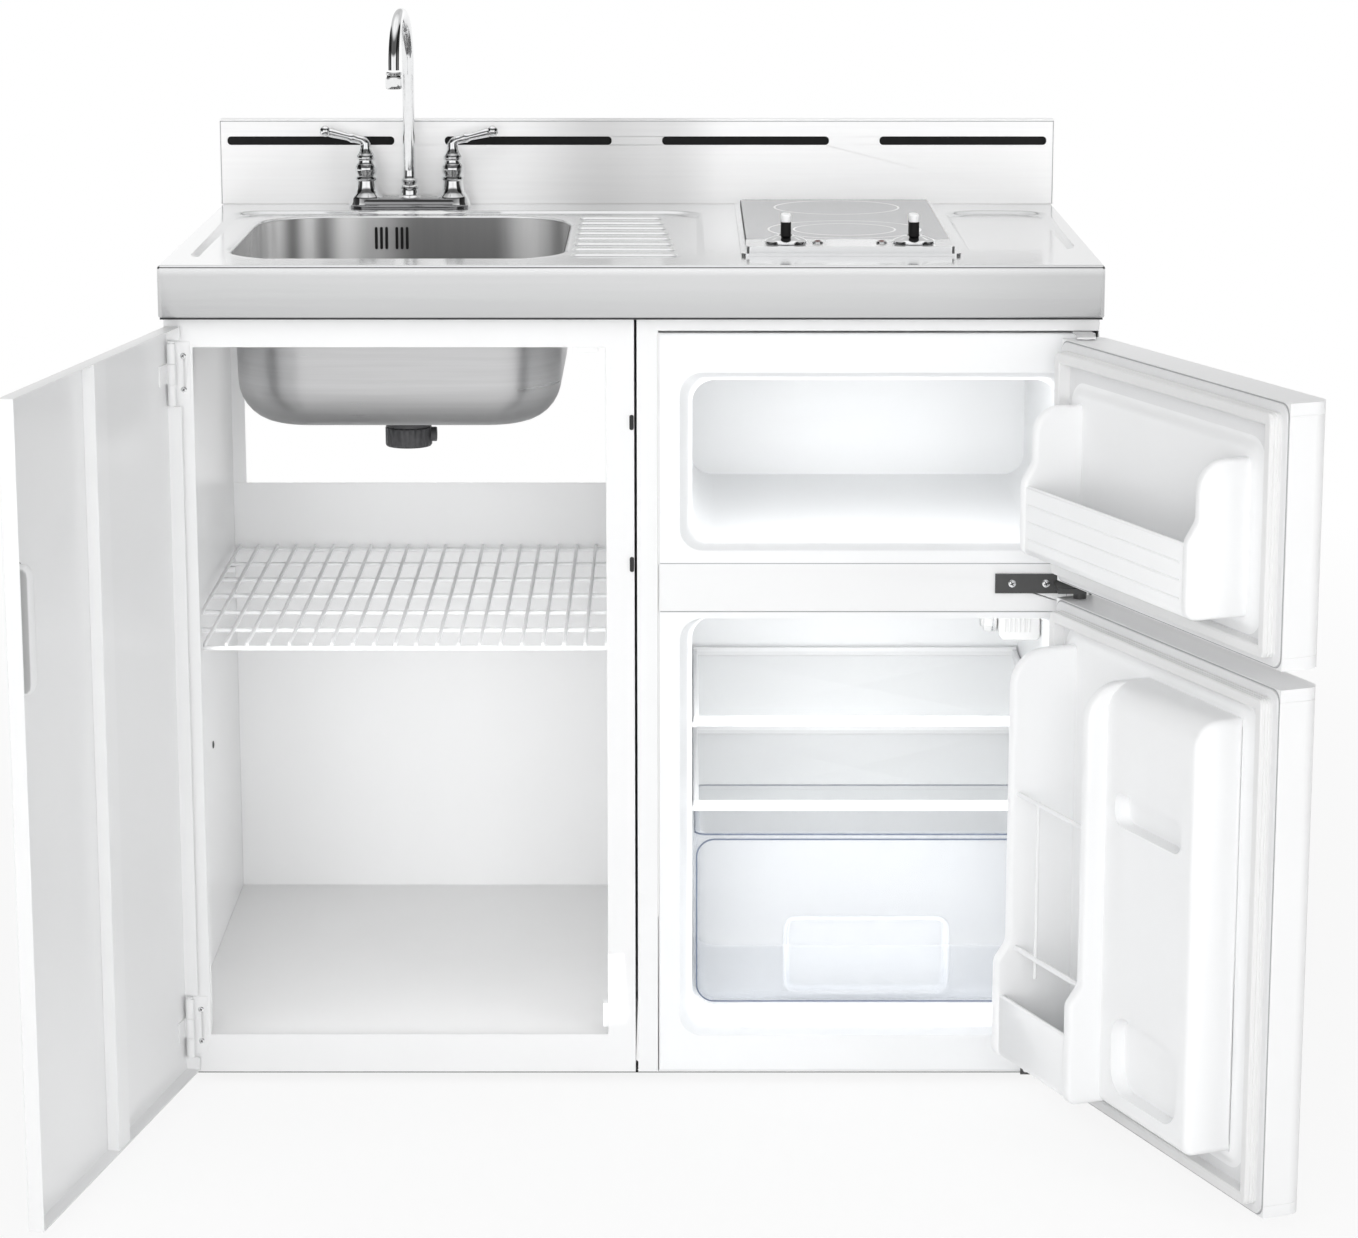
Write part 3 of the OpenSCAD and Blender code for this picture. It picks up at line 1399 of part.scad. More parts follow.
// A low pocket between two fins: front wall with a rolled lip and a floor
module pocket(x0, x1, p, z0, h) {
    box(x0 - eps, x1 + eps, fd_y1 + p - liner_t, fd_y1 + p, z0, z0 + h);
    box(x0 - eps, x1 + eps, fd_y1 + p - liner_t - 2, fd_y1 + p, z0 + h - 5, z0 + h);
    box(x0 - eps, x1 + eps, fd_y1 - 0.1, fd_y1 + p, z0, z0 + liner_t);
}

module freezer_door_skin() {
    door_skin(fd_split1, fd_top);
}

module freezer_door_caps() {
    door_caps(fd_split1, fd_top);
}

module freezer_door_gasket() {
    door_gasket(fd_split1, fd_top);
}

module freezer_door_liner() {
    color("white") open_fridge_door() {
        liner_sheet(fd_split1, fd_top);
        fin(fin_x1 - fin_w, fin_x1, fin_f_hi, fin_f_lo, ffin_bottom, ffin_top, ffin_step);
        fin(ffin_x0, ffin_x0 + fin_w, fin_f_hi, fin_f_lo, ffin_bottom, ffin_top, ffin_step);
        pocket(ffin_x0 + fin_w, fin_x1 - fin_w, fin_f_lo - 2, ffin_bottom, ffin_step - ffin_bottom - 14);
    }
}

module fridge_door_skin() {
    door_skin(fdoor_z, fd_split0);
}

module fridge_door_caps() {
    door_caps(fdoor_z, fd_split0);
}

module fridge_door_gasket() {
    door_gasket(fdoor_z, fd_split0);
}

// The can column: a hollow box with a slot at the top and an outlet at the bottom
module can_column() {
    p = column_p;
    t = liner_t;
    difference() {
        translate([0, fd_y1, 0]) along_x(fin_x0, column_x1 - fin_w)
            polygon(fin_outline(p, p, fin_bottom, fin_top, fin_step, 0));
        translate([0, fd_y1 - 0.01, 0]) along_x(fin_x0 + t, column_x1 - fin_w - t)
            polygon(fin_outline(p, p, fin_bottom, fin_top, fin_step, t));
        front_plate(fin_x0 + 24, column_x1 - fin_w - 20, fd_y1 + p - t - 1, fd_y1 + p + 1,
            fin_top - 140, fin_top - 106, 8);
        front_plate(fin_x0 + 20, column_x1 - fin_w - 24, fd_y1 + p - t - 1, fd_y1 + p + 1,
            fin_bottom + 22, fin_bottom + 104, 26);
    }
}

module fridge_door_liner() {
    color("white") open_fridge_door() {
        liner_sheet(fdoor_z, fd_split0);
        fin(fin_x1 - fin_w, fin_x1, fin_hi, fin_lo, fin_bottom, fin_top, fin_step);
        fin(column_x1 - fin_w, column_x1, fin_hi, fin_lo, fin_bottom, fin_top, fin_step);
        can_column();
        pocket(column_x1, fin_x1 - fin_w, fin_lo - 4, fin_bottom, 70);
    }
}

module bottle_retainer() {
    z = fin_step + 2;
    y = fd_y1 + fin_hi - 8;
    xm = (column_x1 + fin_x1 - fin_w) / 2;
    color("white") open_fridge_door() {
        rod_x(column_x1 + 0.1, fin_x1 - fin_w - 0.1, y, z, 3);
        rod_z(xm + 30, y, z - 20, z + retainer_h + 2, 2);
        rod_x(column_x1 + 0.1, fin_x1 - fin_w - 0.1, y, z + retainer_h, 2.4);
    }
}

worktop();
backsplash();
sink_bowl();
sink_strainer();
drain_fitting();
faucet_base();
faucet_nuts();
spout();
aerator();
hot_handle();
cold_handle();
hob_frame();
hob_glass();
hob_box();
radiant_elements();
hob_switches();
indicator_lamps();
hob_knob_left();
hob_knob_right();
side_panel_left();
divider_panel();
side_panel_right();
cabinet_floor();
cabinet_back();
front_frame();
rear_frame();
right_bay_frame();
wire_shelf();
shelf_clips();
levelling_feet();
seam_buffers();
magnetic_catches();
cabinet_hinge_brackets();
cord_gland();
cabinet_door_panel();
cabinet_door_stiffener();
cabinet_door_pull();
cabinet_door_hinges();
fridge_shell();
fridge_foam();
freezer_liner();
fridge_liner();
glass_shelves();
shelf_trims();
thermostat_housing();
thermostat_dial();
crisper_drawer();
compressor();
condenser_coil();
fridge_hinges();
hinge_screws();
freezer_door_skin();
freezer_door_caps();
freezer_door_liner();
freezer_door_gasket();
fridge_door_skin();
fridge_door_caps();
fridge_door_liner();
fridge_door_gasket();
bottle_retainer();
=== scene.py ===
import math
import bpy, bmesh
from mathutils import Vector, Matrix, geometry


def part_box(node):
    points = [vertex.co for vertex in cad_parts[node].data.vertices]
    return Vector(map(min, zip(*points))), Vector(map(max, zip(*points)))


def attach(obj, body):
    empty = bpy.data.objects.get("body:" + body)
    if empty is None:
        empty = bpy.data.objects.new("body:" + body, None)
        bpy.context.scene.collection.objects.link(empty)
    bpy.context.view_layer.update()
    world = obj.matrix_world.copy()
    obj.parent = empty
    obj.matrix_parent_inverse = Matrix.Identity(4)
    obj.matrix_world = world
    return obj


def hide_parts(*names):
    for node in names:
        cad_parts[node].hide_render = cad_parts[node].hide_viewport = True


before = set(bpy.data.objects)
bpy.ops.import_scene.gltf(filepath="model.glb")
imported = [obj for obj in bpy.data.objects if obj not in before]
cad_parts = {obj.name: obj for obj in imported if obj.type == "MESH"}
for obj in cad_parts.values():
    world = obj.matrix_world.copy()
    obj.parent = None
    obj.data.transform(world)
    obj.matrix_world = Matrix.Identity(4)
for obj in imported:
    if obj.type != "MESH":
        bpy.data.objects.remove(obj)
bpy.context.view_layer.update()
MM = 0.001
scene = bpy.context.scene
scene.view_settings.view_transform = "Standard"

# ---------------------------------------------------------------- shader helpers
WHITE = (1, 1, 1, 1)


def link(nt, a, b):
    nt.links.new(a, b)


def node(nt, kind, inputs=(), **settings):
    """New node. Inputs go by name or number: a socket is linked, any other value is set."""
    n = nt.nodes.new(kind)
    for k, v in settings.items():
        setattr(n, k, v)
    for k, v in dict(inputs).items():
        if isinstance(v, bpy.types.NodeSocket):
            link(nt, v, n.inputs[k])
        else:
            n.inputs[k].default_value = v
    return n


def spread(nt, value, lo=0.0, hi=1.0, to_lo=0.0, to_hi=1.0):
    """Value carried from one range to another."""
    limits = {"From Min": lo, "From Max": hi, "To Min": to_lo, "To Max": to_hi}
    return node(nt, "ShaderNodeMapRange", {"Value": value, **limits}).outputs["Result"]


def ramp(nt, fac, stops, interpolation="LINEAR"):
    """Colour ramp with its stops in rising order: (position, grey) or (position, colour)."""
    n = node(nt, "ShaderNodeValToRGB", {"Fac": fac})
    n.color_ramp.interpolation = interpolation
    el = n.color_ramp.elements
    el[0].position, el[1].position = stops[0][0], stops[-1][0]
    for pos, _ in stops[1:-1]:
        el.new(pos)
    for e, (_, tone) in zip(el, stops):
        e.color = (*tone, 1) if hasattr(tone, "__len__") else (tone, tone, tone, 1)
    return n.outputs["Color"]


def blend(nt, a, b, fac=1.0, kind="MIX"):
    return node(nt, "ShaderNodeMix", {0: fac, 6: a, 7: b}, data_type="RGBA", blend_type=kind).outputs[2]


def calc(nt, operation, *values):
    return node(nt, "ShaderNodeMath", enumerate(values), operation=operation).outputs[0]


def mix_shader(nt, fac, a, b):
    return node(nt, "ShaderNodeMixShader", {0: fac, 1: a, 2: b}).outputs[0]


# ---------------------------------------------------------------- materials
M = {}


def surface(key, name, color, rough, metal=0.0, rough_var=0.05, color_var=0.03, scale=60.0, stretch=(1, 1, 1),
            bump=0.0, bump_scale=None, fine=3.0, shade=(), **sockets):
    """Principled material, M[key], whose colour, roughness and bump vary over the object.

    shade changes the tone slowly along an axis: (axis, from, to, ((position, tone), ...)).
    """
    M[key] = bpy.data.materials.new(name)
    M[key].use_nodes = True
    nt = M[key].node_tree
    bsdf = nt.nodes["Principled BSDF"].inputs
    bsdf["Metallic"].default_value = metal
    for k, v in sockets.items():
        bsdf[k.replace("_", " ")].default_value = v
    place = node(nt, "ShaderNodeTexCoord").outputs["Object"]
    grain = node(nt, "ShaderNodeMapping", {"Vector": place, "Scale": stretch}).outputs["Vector"]
    noise = node(nt, "ShaderNodeTexNoise", {"Vector": grain, "Scale": scale, "Detail": fine, "Roughness": 0.55})
    noise = noise.outputs["Fac"]
    smoothest, roughest = max(0.0, rough - rough_var), min(1.0, rough + rough_var)
    link(nt, spread(nt, noise, 0.3, 0.7, smoothest, roughest), bsdf["Roughness"])
    dark = [max(0.0, c * (1 - color_var)) for c in color]
    pale = [min(1.0, c * (1 + color_var)) for c in color]
    tone = ramp(nt, noise, ((0.35, dark), (0.65, pale)))
    for axis, a, b, stops in shade:
        along = node(nt, "ShaderNodeSeparateXYZ", {0: place}).outputs[axis]
        tone = blend(nt, tone, ramp(nt, spread(nt, along, a, b), stops, "EASE"), kind="MULTIPLY")
    link(nt, tone, bsdf["Base Color"])
    if bump:
        height = noise
        if bump_scale:
            fine_noise = node(nt, "ShaderNodeTexNoise", {"Vector": grain, "Scale": bump_scale, "Detail": 2.0})
            height = fine_noise.outputs["Fac"]
        relief = node(nt, "ShaderNodeBump", {"Height": height, "Strength": 1.0, "Distance": bump})
        link(nt, relief.outputs["Normal"], bsdf["Normal"])


BRUSHED = dict(scale=90, stretch=(0.05, 2.2, 2.2), bump=0.00001)
# worktop steel with painted shade and reflection: the ramps darken the front and side aprons below the top's edge, and
# the sheet towards both ends, most at the right end
surface("steel_x", "steel_brushed_painted_shade", (0.88, 0.885, 0.89), 0.15, 0.92, 0.02, 0.01, **BRUSHED,
        shade=(("Z", 0.84, 0.90, ((0.0, 0.68), (0.8, 0.8), (0.93, 1.0), (1.0, 1.0))),
               ("X", -0.5, 0.5, ((0.0, 0.93), (0.3, 0.97), (0.6, 1.0), (0.8, 0.98), (1.0, 0.84)))))
# backsplash steel drawn near white and hardly metallic so that it reads brightly lit, with a dark band of painted
# reflection across its middle
surface("steel_wall", "steel_wall_painted_reflection", (0.99, 0.99, 0.992), 0.34, 0.04, 0.04, 0.02, **BRUSHED,
        shade=(("X", -0.5, 0.5, ((0.0, 1.0), (0.33, 0.98), (0.46, 0.66), (0.53, 0.74), (0.62, 1.0), (1.0, 1.0))),))
surface("steel_hob", "steel_brushed_hob", (0.88, 0.885, 0.89), 0.2, 1.0, 0.04, 0.02, **BRUSHED)
# light and dark streaks stand in for what the bowl mirrors in the photograph
surface("steel_bowl", "steel_bowl", (0.985, 0.986, 0.988), 0.18, 0.42, 0.03, 0.015, 90, (2.2, 2.2, 0.06), 0.000006,
        shade=(("X", -0.44, -0.04, ((0.0, 0.55), (0.06, 1.0), (0.1, 0.35), (0.14, 1.0), (0.19, 0.4), (0.25, 1.0),
                                    (0.33, 0.62), (0.46, 0.26), (0.68, 0.3), (0.8, 1.0), (0.88, 0.45), (0.95, 1.0),
                                    (1.0, 0.5))),))
# the bowl's underside, with painted shade: darker towards the bottom of the bowl
surface("steel_under", "steel_bowl_under_painted_shade", (0.62, 0.62, 0.625), 0.32, 1.0, 0.05, 0.04, 80, (0.06, 0.06, 2.4), 0.00002,
        shade=(("Z", 0.70, 0.85, ((0.0, 0.45), (0.16, 0.55), (0.4, 1.0), (1.0, 1.0))),))
# chrome drawn dark grey for the faucet's deck: a painted dark reflection
surface("chrome_deck_painted_dark", "chrome_deck_painted_dark", (0.30, 0.30, 0.305), 0.1, 1.0, 0.03, 0.02, 180, bump=0.000002)
surface("chrome", "chrome", (0.86, 0.865, 0.87), 0.06, 1.0, 0.03, 0.02, 180, bump=0.000004)
surface("zinc", "zinc_steel", (0.62, 0.64, 0.66), 0.38, 1.0, 0.1, 0.12, 55, fine=6.0, bump=0.00003)
surface("brass", "brass", (0.74, 0.58, 0.30), 0.3, 1.0, 0.1, 0.08, 120, bump=0.00002)
surface("steel_black", "black_steel", (0.022, 0.022, 0.023), 0.42, 0.0, 0.1, 0.25, 120, bump=0.0001)
# dark grey painted as the shadow in the gap round the cabinet door's pull
surface("gap_shadow_dark", "gap_shadow_dark", (0.07, 0.07, 0.073), 0.4, 0.6, 0.1, 0.25, 120, bump=0.00002)
# the refrigerator's hinges: dark below z = 0.7 m, pale above 0.76 m
surface("hinge_mixed", "fridge_hinge_steel", (0.86, 0.86, 0.863), 0.38, 0.3, 0.08, 0.04, 120, bump=0.00002,
        shade=(("Z", 0.0, 1.0, ((0.0, 0.08), (0.7, 0.08), (0.76, 1.0), (1.0, 1.0))),))
surface("element", "element", (0.35, 0.16, 0.10), 0.6, 0.3, 0.1, 0.3, 200, bump=0.0002)
surface("lamp", "lamp_lens", (0.16, 0.05, 0.045), 0.14, 0.0, 0.04, 0.1, 300, Transmission_Weight=0.3)

EVEN = dict(rough_var=0.012, color_var=0.004, scale=9, bump=0.000002)
LINER = dict(EVEN, color_var=0.003, bump_scale=190)
surface("enamel", "white_enamel", (0.90, 0.903, 0.906), 0.34, **EVEN, bump_scale=420, Coat_Weight=0.25,
        Coat_Roughness=0.12)
surface("enamel_door", "door_inner_enamel", (0.89, 0.893, 0.896), 0.34, **EVEN, bump_scale=420, Coat_Weight=0.3,
        Coat_Roughness=0.12)
surface("enamel_grey", "pale_enamel", (0.87, 0.87, 0.87), 0.38, 0.0, 0.015, 0.006, 9, bump=0.000003, bump_scale=420)
# a greyer copy of the door liner's plastic: painted shade on the liner's flat edge
surface("liner_flange_painted_shade", "liner_flange_painted_shade", (0.80, 0.803, 0.81), 0.36, **EVEN, bump_scale=190)
surface("plastic_inner", "liner_plastic", (0.94, 0.948, 0.955), 0.36, **LINER)
surface("liner_door", "door_liner_plastic", (0.945, 0.95, 0.955), 0.34, **LINER)
surface("plastic_white", "white_plastic", (0.90, 0.903, 0.908), 0.34, **EVEN, bump_scale=300)
# the pull cup's white plastic with painted shade: darker on the flank towards the door's free edge, a little darker at
# the far side
surface("plastic_pull_painted_shade", "pull_plastic_painted_shade", (0.92, 0.923, 0.928), 0.34, **EVEN, bump_scale=300,
        shade=(("Y", -0.760, -0.725, ((0.0, 0.46), (0.2, 0.5), (0.3, 1.0), (0.8, 1.0), (1.0, 0.85))),))
surface("ivory", "ivory_plastic", (0.60, 0.60, 0.598), 0.34, 0.0, 0.02, 0.006, 20, bump=0.000004, bump_scale=300)
surface("wire", "coated_wire", (0.84, 0.845, 0.85), 0.34, 0.0, 0.06, 0.02, 160, bump=0.00006, bump_scale=260)
surface("rubber_white", "white_rubber", (0.83, 0.83, 0.83), 0.55, 0.0, 0.02, 0.005, 12, bump=0.000003, bump_scale=200)
surface("rubber_black", "black_rubber", (0.02, 0.02, 0.02), 0.62, 0.0, 0.1, 0.2, 200, bump=0.00008)
surface("plastic_black", "black_plastic", (0.018, 0.018, 0.019), 0.34, 0.0, 0.09, 0.25, 220, bump=0.00006,
        bump_scale=900)
surface("plastic_drain", "drain_plastic", (0.045, 0.045, 0.048), 0.36, 0.0, 0.09, 0.2, 120, bump=0.00008)
surface("slot_black", "slot_black", (0.004, 0.004, 0.004), 0.7, 0.0, 0.05, 0.2, 90, bump=0.00001)
surface("seam", "seam_shadow", (0.42, 0.42, 0.43), 0.5, 0.0, 0.03, 0.02, 60, bump=0.000004)
surface("foam", "foam", (0.82, 0.77, 0.60), 0.8, 0.0, 0.1, 0.12, 90, fine=6.0, bump=0.0005)
surface("shelf_glass", "shelf_glass", (0.93, 0.96, 0.965), 0.05, 0.0, 0.02, 0.01, 40, IOR=1.5, Alpha=0.15)
surface("hob_glass", "hob_ceramic", (0.36, 0.365, 0.372), 0.08, 0.0, 0.02, 0.05, 700, IOR=1.22)
surface("clear", "clear_plastic", (0.93, 0.955, 0.99), 0.08, 0.0, 0.03, 0.02, 60, IOR=1.45)
# dark tone painted on the crisper's edges as the dark refraction seen there
surface("clear_edge", "clear_plastic_painted_edge", (0.10, 0.12, 0.17), 0.1, 0.0, 0.03, 0.02, 60, Alpha=0.92)

# rings printed round the two heating zones: middle x, y and radius, in metres
ZONES = ((0.233, -0.048, 0.084), (0.233, -0.048, 0.056), (0.233, 0.173, 0.072))
HALF_LINE = 0.0011  # half the width of a printed line
nt = M["hob_glass"].node_tree
base = nt.nodes["Principled BSDF"].inputs["Base Color"]
tone = base.links[0].from_socket
place = node(nt, "ShaderNodeTexCoord").outputs["Object"]
flat = node(nt, "ShaderNodeVectorMath", {0: place, 1: (1, 1, 0)}, operation="MULTIPLY").outputs[0]
for x, y, r in ZONES:
    away = node(nt, "ShaderNodeVectorMath", {0: flat, 1: (x, y, 0)}, operation="DISTANCE").outputs["Value"]
    tone = blend(nt, tone, (0.86, 0.86, 0.86, 1), calc(nt, "COMPARE", away, r, HALF_LINE))
link(nt, tone, base)

# the crisper's plastic is denser and bluer where it is seen edge on
nt = M["clear"].node_tree
bsdf = nt.nodes["Principled BSDF"].inputs
facing = node(nt, "ShaderNodeLayerWeight", {"Blend": 0.3}).outputs["Facing"]
link(nt, spread(nt, facing, to_lo=0.10, to_hi=0.46), bsdf["Alpha"])
tone = bsdf["Base Color"].links[0].from_socket
link(nt, blend(nt, tone, (0.84, 0.88, 0.96, 1), facing, "MULTIPLY"), bsdf["Base Color"])

NODE_MATERIAL = {
    "steel_x": "worktop", "steel_wall": "backsplash", "steel_bowl": "sink_bowl", "steel_hob": "hob_frame",
    "chrome": "sink_strainer faucet_base spout aerator hot_handle cold_handle hinge_screws",
    "brass": "faucet_nuts", "hob_glass": "hob_glass", "zinc": "hob_box rear_frame", "element": "radiant_elements",
    "lamp": "indicator_lamps", "plastic_black": "hob_switches hob_knob_left hob_knob_right",
    "plastic_drain": "drain_fitting", "wire": "wire_shelf", "steel_black": "compressor condenser_coil",
    "plastic_white": "shelf_clips cabinet_door_pull shelf_trims freezer_door_caps fridge_door_caps bottle_retainer",
    "plastic_inner": "freezer_liner fridge_liner freezer_door_liner fridge_door_liner",
    "enamel": "side_panel_left divider_panel side_panel_right cabinet_back front_frame right_bay_frame"
              " magnetic_catches cabinet_hinge_brackets cabinet_door_stiffener cabinet_door_hinges fridge_shell"
              " freezer_door_skin fridge_door_skin",
    "enamel_grey": "cabinet_floor", "enamel_door": "cabinet_door_panel", "hinge_mixed": "fridge_hinges",
    "rubber_black": "levelling_feet seam_buffers cord_gland",
    "rubber_white": "freezer_door_gasket fridge_door_gasket", "foam": "fridge_foam", "shelf_glass": "glass_shelves",
    "ivory": "thermostat_housing thermostat_dial", "clear": "crisper_drawer",
}
BEVEL = {  # width in millimetres
    0.3: "cabinet_hinge_brackets cabinet_door_hinges",
    0.4: "cabinet_back rear_frame backsplash magnetic_catches fridge_hinges",
    0.5: "side_panel_left divider_panel side_panel_right cabinet_floor front_frame right_bay_frame"
         " cabinet_door_stiffener hob_box hob_frame",
    0.6: "shelf_clips levelling_feet", 0.8: "fridge_shell", 0.9: "cabinet_door_panel", 1.0: "compressor",
    1.2: "freezer_door_skin fridge_door_skin", 1.5: "freezer_door_caps fridge_door_caps",
    5.0: "freezer_liner fridge_liner",
}


def modify(ob, kind, **values):
    md = ob.modifiers.new(kind.lower(), kind)
    for k, v in values.items():
        setattr(md, k, v)


for key, names in NODE_MATERIAL.items():
    for name in names.split():
        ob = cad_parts[name]
        if not ob.data.materials:
            ob.data.materials.append(None)
        for slot in ob.material_slots:
            slot.material = M[key]
for width, names in BEVEL.items():
    for name in names.split():
        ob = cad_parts[name]
        modify(ob, "WELD", merge_threshold=0.00001)
        modify(ob, "BEVEL", width=width * MM, segments=2 if width < 1.1 else 4, limit_method="ANGLE",
               angle_limit=math.radians(40), use_clamp_overlap=True)
        if width < 1.0:
            modify(ob, "WEIGHTED_NORMAL", keep_sharp=True, weight=100)

# ---------------------------------------------------------------- camera, surroundings, lamps and floor
PHOTO_WIDTH, FOCAL = 1358, 3852  # in pixels
cam_data = bpy.data.cameras.new("camera")
cam = bpy.data.objects.new("camera", cam_data)
scene.collection.objects.link(cam)
scene.camera = cam
cam.location = (0.050, -4.305, 1.40)
cam.rotation_euler = (math.radians(90 - 12.37), 0, 0)
cam_data.sensor_width = 36
cam_data.lens = FOCAL / PHOTO_WIDTH * 36
cam_data.clip_end = 100

world = bpy.data.worlds.new("studio")
scene.world = world
world.use_nodes = True
wt = world.node_tree
wt.nodes.clear()
ray = node(wt, "ShaderNodeLightPath").outputs
way = node(wt, "ShaderNodeSeparateXYZ", {0: node(wt, "ShaderNodeTexCoord").outputs["Generated"]}).outputs
# the studio as metal mirrors it: white, a little greyer in front, with a dark strip far left and far right
depth = ramp(wt, spread(wt, way["Y"], -1), ((0.0, (0.96, 0.96, 0.965)), (0.55, 1.0)))
sides = ramp(wt, spread(wt, way["X"], -1), (
    (0.0, 0.2), (0.02, 0.03), (0.13, 0.03), (0.165, 0.95), (0.35, 1.0), (0.56, 0.85), (0.7, 1.0), (0.835, 0.95),
    (0.87, 0.03), (0.98, 0.03), (1.0, 0.2)))
# a dark band about 25 to 50 degrees up, weaker behind, seen by rounded edges and chrome
height = ramp(wt, spread(wt, way["Z"], -1), ((0.64, 1.0), (0.70, 0.12), (0.88, 0.12), (0.97, 1.0)))
band = blend(wt, height, WHITE, spread(wt, way["Y"], -0.25, 0.1, 0.0, 0.55))
studio = blend(wt, blend(wt, depth, sides, kind="MULTIPLY"), band, kind="MULTIPLY")
mirrored = node(wt, "ShaderNodeBackground", {"Color": studio, "Strength": 1.14}).outputs[0]
ambient = node(wt, "ShaderNodeBackground", {"Color": WHITE, "Strength": 0.36}).outputs[0]
backdrop = node(wt, "ShaderNodeBackground", {"Color": WHITE, "Strength": 1.0}).outputs[0]
seen = calc(wt, "MAXIMUM", ray["Is Camera Ray"], ray["Is Transmission Ray"])
around = mix_shader(wt, seen, mix_shader(wt, ray["Is Glossy Ray"], ambient, mirrored), backdrop)
node(wt, "ShaderNodeOutputWorld", {0: around})


def area(name, loc, target, size, power):
    """Rectangular lamp that neither the camera nor a reflection shows."""
    d = bpy.data.lights.new(name, "AREA")
    d.shape = "RECTANGLE"
    d.size, d.size_y = size
    d.energy = power
    o = bpy.data.objects.new(name, d)
    o.location = loc
    o.rotation_euler = (Vector(target) - Vector(loc)).to_track_quat("-Z", "Y").to_euler()
    o.visible_glossy = o.visible_camera = False
    scene.collection.objects.link(o)


area("key", (-2.2, -3.6, 3.2), (0, 0, 0.6), (2.6, 2.2), 36)
area("front", (-0.2, -5.2, 1.2), (0.0, 0, 0.5), (3.2, 2.4), 96)
area("right", (3.0, -3.2, 1.5), (-0.4, -0.2, 0.5), (1.8, 1.8), 24)
area("top", (0.3, 0.6, 3.4), (0, 0, 0.9), (2.4, 1.6), 18)
area("splash", (0.1, -0.25, 1.45), (0.1, 0.283, 0.95), (1.1, 0.25), 1.35)
# soft fill in the mouths of the bays, shining inwards only
area("fill_cabinet", (-0.23, -0.27, 0.43), (-0.23, 0.3, 0.40), (0.44, 0.72), 0.84)
area("fill_freezer", (0.258, -0.27, 0.69), (0.258, 0.3, 0.68), (0.37, 0.17), 0.26)
area("fill_crisper", (0.258, -0.27, 0.155), (0.258, 0.3, 0.15), (0.36, 0.15), 0.13)
area("fill_fridge", (0.258, -0.27, 0.29), (0.258, 0.3, 0.29), (0.37, 0.44), 0.92)

REACH = 14  # half the floor's side, in metres
fl = bpy.data.meshes.new("floor")
fl.from_pydata([(-REACH, -REACH, 0), (REACH, -REACH, 0), (REACH, REACH, 0), (-REACH, REACH, 0)], [], [(0, 1, 2, 3)])
floor = bpy.data.objects.new("floor", fl)
scene.collection.objects.link(floor)
fm = bpy.data.materials.new("floor_paper")
fm.use_nodes = True
ft = fm.node_tree
ft.nodes.clear()
# paper that turns white away from the part; light bounced off it stays that of paper
ray = node(ft, "ShaderNodeLightPath").outputs
place = node(ft, "ShaderNodeTexCoord").outputs["Object"]
away = node(ft, "ShaderNodeVectorMath", {0: place}, operation="LENGTH").outputs["Value"]
seen = calc(ft, "MAXIMUM", calc(ft, "MAXIMUM", ray["Is Camera Ray"], ray["Is Glossy Ray"]), ray["Is Transmission Ray"])
share = calc(ft, "MULTIPLY", seen, spread(ft, away, 0.8, 3.2, 0.86, 1.0))
paper = node(ft, "ShaderNodeBsdfDiffuse", {"Color": (0.93, 0.93, 0.93, 1)}).outputs[0]
glow = node(ft, "ShaderNodeEmission", {"Color": WHITE, "Strength": 1.0}).outputs[0]
node(ft, "ShaderNodeOutputMaterial", {0: mix_shader(ft, share, paper, glow)})
fl.materials.append(fm)

# ---------------------------------------------------------------- mesh helpers (millimetres)


def rrect(x0, x1, y0, y1, r, inset=0.0, n=6):
    """Closed loop of a rounded rectangle, pulled in by inset."""
    x0, x1, y0, y1 = x0 + inset, x1 - inset, y0 + inset, y1 - inset
    r = min(max(r - inset, 0.02), (x1 - x0) / 2 - 0.01, (y1 - y0) / 2 - 0.01)
    loop = []
    for cx, cy, a0 in ((x1 - r, y1 - r, 0), (x0 + r, y1 - r, 90), (x0 + r, y0 + r, 180), (x1 - r, y0 + r, 270)):
        for k in range(n + 1):
            a = math.radians(a0 + 90 * k / n)
            loop.append((cx + r * math.cos(a), cy + r * math.sin(a)))
    return loop


def fillet(points, radii, n=6):
    """Polygon with its corners rounded, by one radius or by one for each corner."""
    out = []
    m = len(points)
    for i, p in enumerate(points):
        r = radii[i] if hasattr(radii, "__len__") else radii
        p = Vector(p)
        a, b = Vector(points[i - 1]) - p, Vector(points[(i + 1) % m]) - p
        la, lb = a.length, b.length
        a, b = a / la, b / lb
        half = math.acos(max(-1, min(1, a.dot(b)))) / 2
        d = min(r / math.tan(half), la * 0.49, lb * 0.49)
        r = d * math.tan(half)
        if r < 0.05:
            out += [tuple(p)] * (n + 1)
            continue
        c = p + (a + b).normalized() * (r / math.sin(half))
        v0, v1 = p + a * d - c, p + b * d - c
        turn = v0.angle_signed(v1)
        for k in range(n + 1):
            t = -turn * k / n
            out.append((c.x + v0.x * math.cos(t) - v0.y * math.sin(t),
                        c.y + v0.x * math.sin(t) + v0.y * math.cos(t)))
    return out


